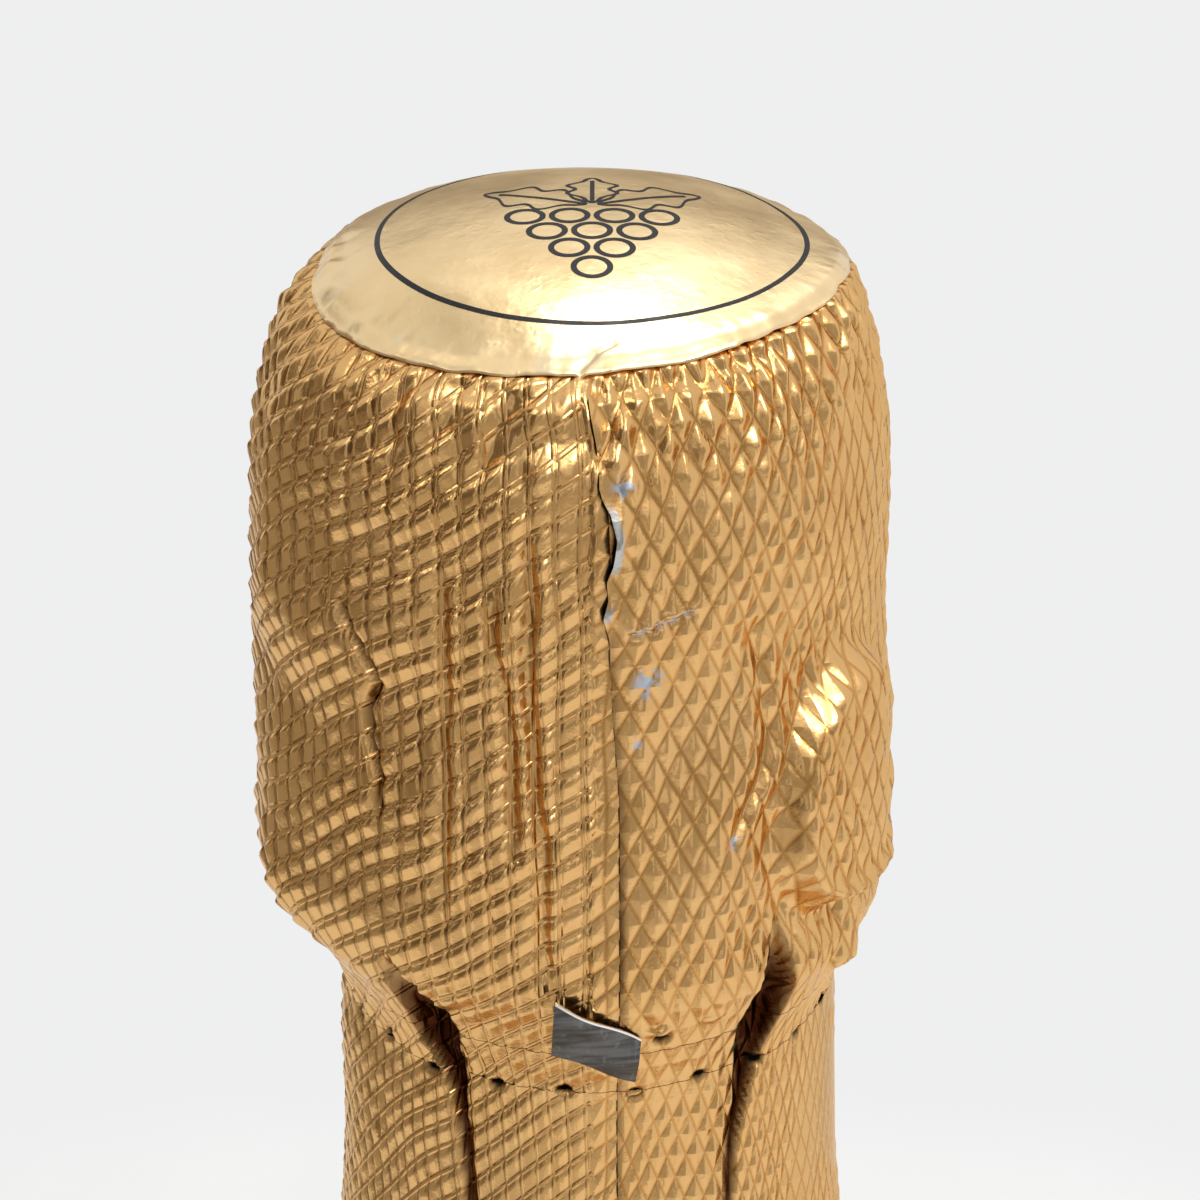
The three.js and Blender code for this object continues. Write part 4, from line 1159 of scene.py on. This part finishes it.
class BOTTLE_OT_glass(BottleOperator, bpy.types.Operator):
    """Glass bottle and its wine"""

    bl_idname = "bottle.glass"
    bl_label = "Glass and wine"

    def execute(self, context):
        foot_outer = BODY_RADIUS - HEEL_RADIUS
        foot_inner = foot_outer - FOOT_WIDTH
        wall = BODY_RADIUS - BODY_WALL
        heel = bezier([(foot_outer, 0), (BODY_RADIUS, 0), (BODY_RADIUS, HEEL_RADIUS)], 16)
        ring = [(NECK_RADIUS + EDGE, RING_BOTTOM), (RING_RADIUS - EDGE, RING_BOTTOM)]
        ring += bezier([ring[-1], (RING_RADIUS, RING_BOTTOM), (RING_RADIUS, RING_BOTTOM + EDGE)], 5)
        ring += bezier([(RING_RADIUS, RING_TOP - EDGE), (RING_RADIUS, RING_TOP), (RING_RADIUS - EDGE, RING_TOP)], 5)
        crown = [(13.4, RING_TOP), (13.4, LIP_HEIGHT - 7.3), (14.3, LIP_HEIGHT - 6.5), (14.3, LIP_HEIGHT - EDGE)]
        crown += bezier([crown[-1], (14.3, LIP_HEIGHT), (14.3 - EDGE, LIP_HEIGHT)], 5)
        crown += [(BORE_RADIUS + EDGE, LIP_HEIGHT)]
        crown += bezier([crown[-1], (BORE_RADIUS, LIP_HEIGHT), (BORE_RADIUS, LIP_HEIGHT - EDGE)], 5)
        inside_heel = bezier([(wall - HEEL_RADIUS, BASE_THICKNESS), (wall, BASE_THICKNESS), (wall, BASE_THICKNESS + HEEL_RADIUS)], 12)
        inside = [*inside_heel, *INNER_SHOULDER, (BORE_RADIUS, LIP_HEIGHT - 30)]
        outline = [*punt(0, foot_inner), (foot_outer, 0), *heel, (BODY_RADIUS, BODY_TOP), *SHOULDER]
        outline += [(NECK_RADIUS, RING_BOTTOM), *ring, *crown, *inside[::-1]]
        outline += [(wall - HEEL_RADIUS, BASE_THICKNESS), *punt(BASE_THICKNESS, foot_inner - EDGE)[::-1]]
        mesh = mesh_of("bottle_glass", [lathe(outline, 144)], weld=True)
        place(mesh, glass_finish(), "bottle", "glass_green", "glass_bottle")

        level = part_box("wine")[1].z / MM
        gap = 0.3
        side = [(r - gap, z + gap) for r, z in inside if z + gap < level - 1]
        top_radius = float(np.interp(level, [z for _, z in inside], [r for r, _ in inside])) - gap
        fill = [*punt(BASE_THICKNESS + gap, foot_inner - EDGE + gap), (wall - HEEL_RADIUS, BASE_THICKNESS + gap), *side]
        fill += [(top_radius, level), (top_radius - 0.6, level - 0.35), (top_radius - 2, level - 0.6), (0, level - 0.6)]
        place(mesh_of("wine_fill", [lathe(fill, 96)], weld=True), wine_finish(), "bottle", "wine", "wine")
        return {"FINISHED"}


class BOTTLE_OT_cork(BottleOperator, bpy.types.Operator):
    """Granulated stopper with its two natural discs"""

    bl_idname = "bottle.cork"
    bl_label = "Stopper"

    def rough(self, grid, seed, height=0.09):
        points = grid.points
        radius = np.hypot(points[..., 0], points[..., 1])
        turn = np.degrees(np.arctan2(points[..., 0], -points[..., 1]))
        push = height * ripple(turn / 6.0 + 60, points[..., 2] / 1.6, seed) * step_up(radius, 1.0, 4.0)
        grid.points = around(radius - np.abs(push), turn, points[..., 2])
        return grid

    def execute(self, context):
        low, high = (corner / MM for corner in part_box("cork_body"))
        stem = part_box("cork_disc_upper")[1].x / MM
        head = high.x
        under = LIP_HEIGHT + 0.3
        outline = [(0, low.z), (stem - 0.3, low.z), (stem, low.z + 0.3)]
        outline += [(stem, z) for z in np.linspace(low.z + 0.8, under, 14)]
        outline += [(12.0, under), *bezier([(13.5, under), (head, under), (head, under + 3)], 8)]
        outline += [(head, z) for z in np.linspace(under + 3.5, high.z - 4, 8)]
        outline += [*bezier([(head, high.z - 4), (head, high.z), (head - 4, high.z)], 10), (6, high.z), (0, high.z)]
        body = mesh_of("cork_granulated", [self.rough(lathe(outline, 120), 41)], weld=True)
        place(body, cork_finish(False), "cork", "cork_grain", "cork_body")
        natural = cork_finish(True)
        for order, node in enumerate(("cork_disc_lower", "cork_disc_upper")):
            foot, top = (corner.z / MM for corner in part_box(node))
            edge = 0.9 if order == 0 else 0.15
            outline = [(0, foot), (stem - edge, foot), *bezier([(stem - edge, foot), (stem, foot), (stem, foot + edge)], 6)]
            outline += [(stem, z) for z in np.linspace(foot + edge + 0.2, top - 0.3, 6)]
            outline += [(stem - 0.15, top), (0, top)]
            disc = mesh_of(f"{node}_natural", [self.rough(lathe(outline, 96), 42 + order, 0.06)], weld=True)
            place(disc, natural, "cork", "cork_natural", node)
        return {"FINISHED"}


class BOTTLE_OT_cage(BottleOperator, bpy.types.Operator):
    """Wire cage: plate, hoop, legs, belt and the loop that undoes it"""

    bl_idname = "bottle.cage"
    bl_label = "Wire cage"

    def plate(self):
        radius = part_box("cap_plate")[1].x / MM
        share = np.linspace(0, 1, 60)
        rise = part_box("cap_plate")[1].z / MM - PLATE_RIM - 0.4
        dome = rise * (1 - step_up(share, 0.12, 1.0)) - 0.12 * hump(share - 0.62, 0.03) + 0.15 * hump(share - 0.9, 0.04)
        under = [(radius * s, PLATE_RIM + d) for s, d in zip(share, dome)]
        over = [(r, z + 0.4) for r, z in under][::-1]
        return [lathe([*under, (radius + 0.15, PLATE_RIM + 0.2), *over], 120)]

    def hoop(self, radius, height, wire, wave):
        turn = np.linspace(0, 360, 180, endpoint=False)
        bend = wave * np.sin(np.radians(turn * 4 + 45))
        return [tube(around(radius, turn, height + bend), wire, 10, ring=True)]

    def leg(self, azimuth):
        radii, heights = zip(*LEG_STOPS)
        knots = np.arange(len(LEG_STOPS))
        at = np.linspace(0, len(LEG_STOPS) - 1, 130)
        path = around(smooth_through(knots, radii, at), azimuth, smooth_through(knots, heights, at))
        eyelet = np.linspace(0, 360, 40, endpoint=False)
        centre = np.radians(azimuth)
        out = np.array([np.sin(centre), -np.cos(centre), 0.0])
        belt = np.array([*(15.0 * out[:2]), BELT_HEIGHT])
        wrap = belt + 0.98 * (np.cos(np.radians(eyelet))[:, None] * out + np.sin(np.radians(eyelet))[:, None] * (0, 0, 1))
        return [*twisted_pair(path, 0.37, 4.4), tube(wrap, 0.36, 8, ring=True)]

    def loop(self):
        shank = np.linspace(0.1, 5.7, 40)
        lean = np.linspace(LOOP_REACH - 0.7, LOOP_REACH, 40)
        path = around(lean, LOOP_AZIMUTH, BELT_HEIGHT + shank)
        turn = np.radians(np.linspace(0, 360, 90, endpoint=False))
        side = 5.0 * np.sin(turn) * (0.88 + 0.12 * np.cos(turn)) - 0.5 * (1 - np.cos(turn)) / 2
        up = BELT_HEIGHT + 12.0 - 6.2 * np.cos(turn)
        eye = around(LOOP_REACH, LOOP_AZIMUTH + np.degrees(side / LOOP_REACH), up)
        return [*twisted_pair(path, 0.3, 3.2), tube(eye, 0.36, 10, ring=True)]

    def execute(self, context):
        wire = wire_finish()
        place(mesh_of("cage_plate", self.plate(), weld=True), plate_finish(), "cage", "cap_metal", "cap_plate")
        hoop_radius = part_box("cage_ring")[1].x / MM - 0.5
        place(mesh_of("cage_hoop", self.hoop(hoop_radius, PLATE_RIM, 0.5, 0.0), weld=True), wire, "cage", "steel_wire", "cage_ring")
        belt_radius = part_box("belt_wire")[1].x / MM - 0.5
        place(mesh_of("cage_belt", self.hoop(belt_radius, BELT_HEIGHT, 0.5, 0.12), weld=True), wire, "cage", "steel_wire", "belt_wire")
        for number, azimuth in enumerate(LEG_AZIMUTHS, 1):
            leg = mesh_of(f"cage_leg_wire_{number}", self.leg(azimuth), weld=True)
            place(leg, wire, "cage", "steel_wire", f"cage_leg_{number}")
        stub = around(np.linspace(15.9, LOOP_REACH - 0.9, 16), LOOP_AZIMUTH, BELT_HEIGHT + np.linspace(0, 0.02, 16))
        strands = []
        for phase in (0, math.pi):
            turn = np.linspace(0, 2.2, 16) + phase
            across = np.array([math.cos(math.radians(LOOP_AZIMUTH)), math.sin(math.radians(LOOP_AZIMUTH)), 0.0])
            swing = 0.3 * (np.cos(turn)[:, None] * across + np.sin(turn)[:, None] * (0, 0, 1))
            strands.append(tube(stub + swing, 0.3, 8))
        place(mesh_of("loop_knot_wire", strands, weld=True), wire, "knot", "steel_wire", "loop_knot")
        place(mesh_of("twist_loop_wire", self.loop(), weld=True), wire, "loop", "steel_wire", "twist_loop")
        return {"FINISHED"}


class BOTTLE_OT_labels(BottleOperator, bpy.types.Operator):
    """Plain paper labels on the body and round the foot of the foil"""

    bl_idname = "bottle.labels"
    bl_label = "Labels"

    def panel(self, azimuth, width, bottom, top):
        """A label glued round the body, its corners a little rounded, with distances to its edge."""
        u = np.linspace(-1, 1, 90)[None, :]
        v = np.linspace(-1, 1, 60)[:, None]
        middle = (bottom + top) / 2
        half = (top - bottom) / 2
        x = u * width / 2 + 0 * v
        z = v * half + 0 * u
        rule = np.minimum(width / 2 - np.abs(x), half - np.abs(z))
        radius = BODY_RADIUS + 0.16 + 0.02 * ripple(x / 9 + 20, z / 9 + 20, 51)
        turn = azimuth + np.degrees(x / BODY_RADIUS)
        outer = around(radius + 0.2, turn, middle + z)
        inner = around(radius, turn, middle + z)
        return thin_plate(outer, inner, "rule", rule)

    def collar(self):
        bottom, top = (corner.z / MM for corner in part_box("neck_label"))
        height = np.linspace(bottom, top, 30)
        radius = np.array([glass_radius(z) for z in height])
        outside = [(r + 1.26, z) for r, z in zip(radius, height)]
        inside = [(r + 1.02, z) for r, z in zip(radius, height)][::-1]
        grid = lathe([*outside, *inside, outside[0]], 140)
        grid.values["rule"] = np.minimum(grid.points[..., 2] - bottom, top - grid.points[..., 2])
        return [grid]

    def execute(self, context):
        paper = paper_finish()
        for node, azimuth in (("front_label", 0.0), ("back_label", 180.0)):
            low, high = (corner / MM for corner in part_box(node))
            width = 2 * BODY_RADIUS * math.asin(min(1.0, high.x / (BODY_RADIUS + 0.4)))
            panel = mesh_of(f"{node}_paper", self.panel(azimuth, width, low.z, high.z), weld=True)
            place(panel, paper, "bottle", "label_paper", node)
        collar = mesh_of("neck_label_paper", self.collar(), weld=True)
        place(collar, paper, "bottle", "label_paper", "neck_label")
        return {"FINISHED"}


# Cards that only reflections see: azimuth, elevation, size, shade; and name, x, y, width, shade

STANDING_CARDS = (
    (-58, 8, (1.0, 1.7), 0.12),
    (-10, 0, (0.8, 0.9), 0.36),
    (42, 0, (0.9, 0.9), 0.42),
    (180, 0, (0.8, 0.9), 0.25),
    (250, 0, (1.0, 0.9), 0.18),
    (-50, 48, (0.9, 0.5), 0.4),
    (22, 56, (1.2, 0.4), 2.7),
    (-131, 60, (0.7, 0.45), 0.42),
)
FLOOR_CARDS = (
    ("left", -0.62, -0.55, 0.66, 0.24),
    ("middle", -0.14, -0.55, 0.3, 0.56),
    ("right", 0.46, -0.8, 0.9, 0.36),
    ("back", 0.0, 1.05, 0.9, 0.25),
    ("left_back", -0.8, 0.25, 1.0, 0.34),
)


class BOTTLE_OT_stage(BottleOperator, bpy.types.Operator):
    """Pale floor, soft light and the camera"""

    bl_idname = "bottle.stage"
    bl_label = "Stage"

    def floor(self):
        half = 0.48
        mesh = bpy.data.meshes.new("floor")
        mesh.from_pydata([(-half, -half, 0), (half, -half, 0), (half, half, 0), (-half, half, 0)], [], [(0, 1, 2, 3)])
        material, shader, s = new_finish("floor_white", Roughness=0.9, Specular_IOR_Level=0.0)
        where = s.place()
        dust = s.noise(where, 30.0, 4.0)
        s.feed(shader.inputs["Base Color"], s.blend(s.between(dust, 0.3, 0.7), (0.92, 0.92, 0.92), (0.94, 0.94, 0.94)))
        reach = s.node("ShaderNodeVectorMath", {0: where}, operation="LENGTH").outputs["Value"]
        s.feed(shader.inputs["Alpha"], s.between(reach, 0.395, 0.44, 1.0, 0.0))
        mesh.materials.append(material)
        floor = bpy.data.objects.new("floor", mesh)
        floor.location = (-0.015, 0, 0)
        bpy.context.scene.collection.objects.link(floor)

    def card(self, name, place_at, turn, size, shade):
        """A plain card with its own even tone that only reflections see."""
        w, h = size[0] / 2, size[1] / 2
        warm = max(0.0, 1 - shade / 0.4)
        dull = 1.0 if shade < 1 else 0.0
        mesh = bpy.data.meshes.new(name)
        mesh.from_pydata([(-w, 0, -h), (w, 0, -h), (w, 0, h), (-w, 0, h)], [], [(0, 1, 2, 3)])
        tone = (shade, shade * (1.0 - 0.03 * dull - 0.27 * warm), shade * (1.02 - 0.12 * dull - 0.5 * warm))
        material, _, _ = new_finish(name, Base_Color=(0, 0, 0), Emission_Color=tone, Emission_Strength=1.0)
        mesh.materials.append(material)
        card = bpy.data.objects.new(name, mesh)
        card.location = place_at
        card.rotation_euler = turn
        card.visible_camera = False
        card.visible_shadow = False
        card.visible_diffuse = False
        card.visible_transmission = False
        bpy.context.scene.collection.objects.link(card)

    def standing_card(self, azimuth, elevation, size, shade):
        """A card that faces the head of the bottle from 1.2 m away."""
        turn = math.radians(azimuth)
        up = math.radians(elevation)
        out = 1.2 * math.cos(up)
        place_at = (out * math.sin(turn), -out * math.cos(turn), 0.3 + 1.2 * math.sin(up))
        self.card(f"card_{azimuth}_{elevation}", place_at, (-up, 0, turn), size, shade)

    def lamp(self, name, place_at, aim, size, power, tint=(1, 1, 1)):
        data = bpy.data.lights.new(name, "AREA")
        data.shape = "RECTANGLE"
        data.size, data.size_y = size
        data.energy = power
        data.color = tint
        lamp = bpy.data.objects.new(name, data)
        lamp.location = place_at
        direction = np.array(aim, float) - np.array(place_at, float)
        pitch = math.atan2(math.hypot(direction[0], direction[1]), -direction[2])
        lamp.rotation_euler = (pitch, 0, math.atan2(-direction[0], direction[1]))
        bpy.context.scene.collection.objects.link(lamp)

    def world(self):
        colour = tuple(bpy.context.scene.stage_settings.backdrop)
        world = bpy.data.worlds.new("studio")
        world.use_nodes = True
        s = Sketch(world.node_tree)
        path = s.node("ShaderNodeLightPath").outputs
        seen = s.math("MAXIMUM", path["Is Camera Ray"], s.math("MAXIMUM", path["Is Glossy Ray"], path["Is Transmission Ray"]))
        background = world.node_tree.nodes["Background"]
        s.feed(background.inputs["Color"], colour)
        s.feed(background.inputs["Strength"], s.math("ADD", 0.45, s.math("MULTIPLY", seen, 0.55)))
        bpy.context.scene.world = world

    def camera(self):
        settings = bpy.context.scene.stage_settings
        data = bpy.data.cameras.new("photo_camera")
        data.lens = settings.lens
        data.sensor_width = 36.0
        data.clip_start = 0.01
        camera = bpy.data.objects.new("photo_camera", data)
        camera.location = (0.44 * MM, -240.0 * MM, (RIM_HEIGHT + 94.4) * MM)
        camera.rotation_euler = (math.pi / 2 - settings.camera_pitch, 0, 0)
        bpy.context.scene.collection.objects.link(camera)
        bpy.context.scene.camera = camera

    def execute(self, context):
        context.scene.view_settings.view_transform = "Standard"
        self.world()
        self.floor()
        head = (0.0, 0.0, 0.3)
        self.lamp("back_top", (0.14, 0.36, 1.2), head, (0.34, 0.24), 4.4)
        self.lamp("right_top", (0.72, -1.44, 2.1), head, (1.0, 0.9), 33.0, (1.0, 0.985, 0.96))
        self.lamp("left_top", (-0.72, -0.3, 1.0), head, (0.3, 0.3), 0.8, (1.0, 0.97, 0.92))
        for azimuth, elevation, size, shade in STANDING_CARDS:
            self.standing_card(azimuth, elevation, size, shade)
        for name, x, y, width, shade in FLOOR_CARDS:
            self.card(f"low_card_{name}", (x, y, 0.004), (math.pi / 2, 0, 0), (width, 0.8), shade)
        self.camera()
        return {"FINISHED"}


class BOTTLE_PT_panel(bpy.types.Panel):
    """Lists the pieces and their settings"""

    bl_idname = "BOTTLE_PT_panel"
    bl_label = "Champagne bottle"
    bl_space_type = "VIEW_3D"
    bl_region_type = "UI"
    bl_category = "Bottle"

    def draw(self, context):
        for group in (context.scene.capsule_settings, context.scene.bottle_settings, context.scene.stage_settings):
            box = self.layout.box()
            for name in group.__annotations__:
                box.prop(group, name)
        for operator in OPERATORS:
            self.layout.operator(operator.bl_idname)


SETTINGS = {"capsule_settings": CapsuleSettings, "bottle_settings": BottleSettings, "stage_settings": StageSettings}
OPERATORS = (
    BOTTLE_OT_stage,
    BOTTLE_OT_hood,
    BOTTLE_OT_top,
    BOTTLE_OT_strip,
    BOTTLE_OT_skirt,
    BOTTLE_OT_glass,
    BOTTLE_OT_cork,
    BOTTLE_OT_cage,
    BOTTLE_OT_labels,
)


def register():
    for group in (*SETTINGS.values(), *OPERATORS, BOTTLE_PT_panel):
        bpy.utils.register_class(group)
    for name, group in SETTINGS.items():
        setattr(bpy.types.Scene, name, bpy.props.PointerProperty(type=group))


def unregister():
    for name in SETTINGS:
        delattr(bpy.types.Scene, name)
    for group in reversed((*SETTINGS.values(), *OPERATORS, BOTTLE_PT_panel)):
        bpy.utils.unregister_class(group)


def main():
    register()
    for operator in OPERATORS:
        area, name = operator.bl_idname.split(".")
        getattr(getattr(bpy.ops, area), name)()


if __name__ == "__main__":
    main()
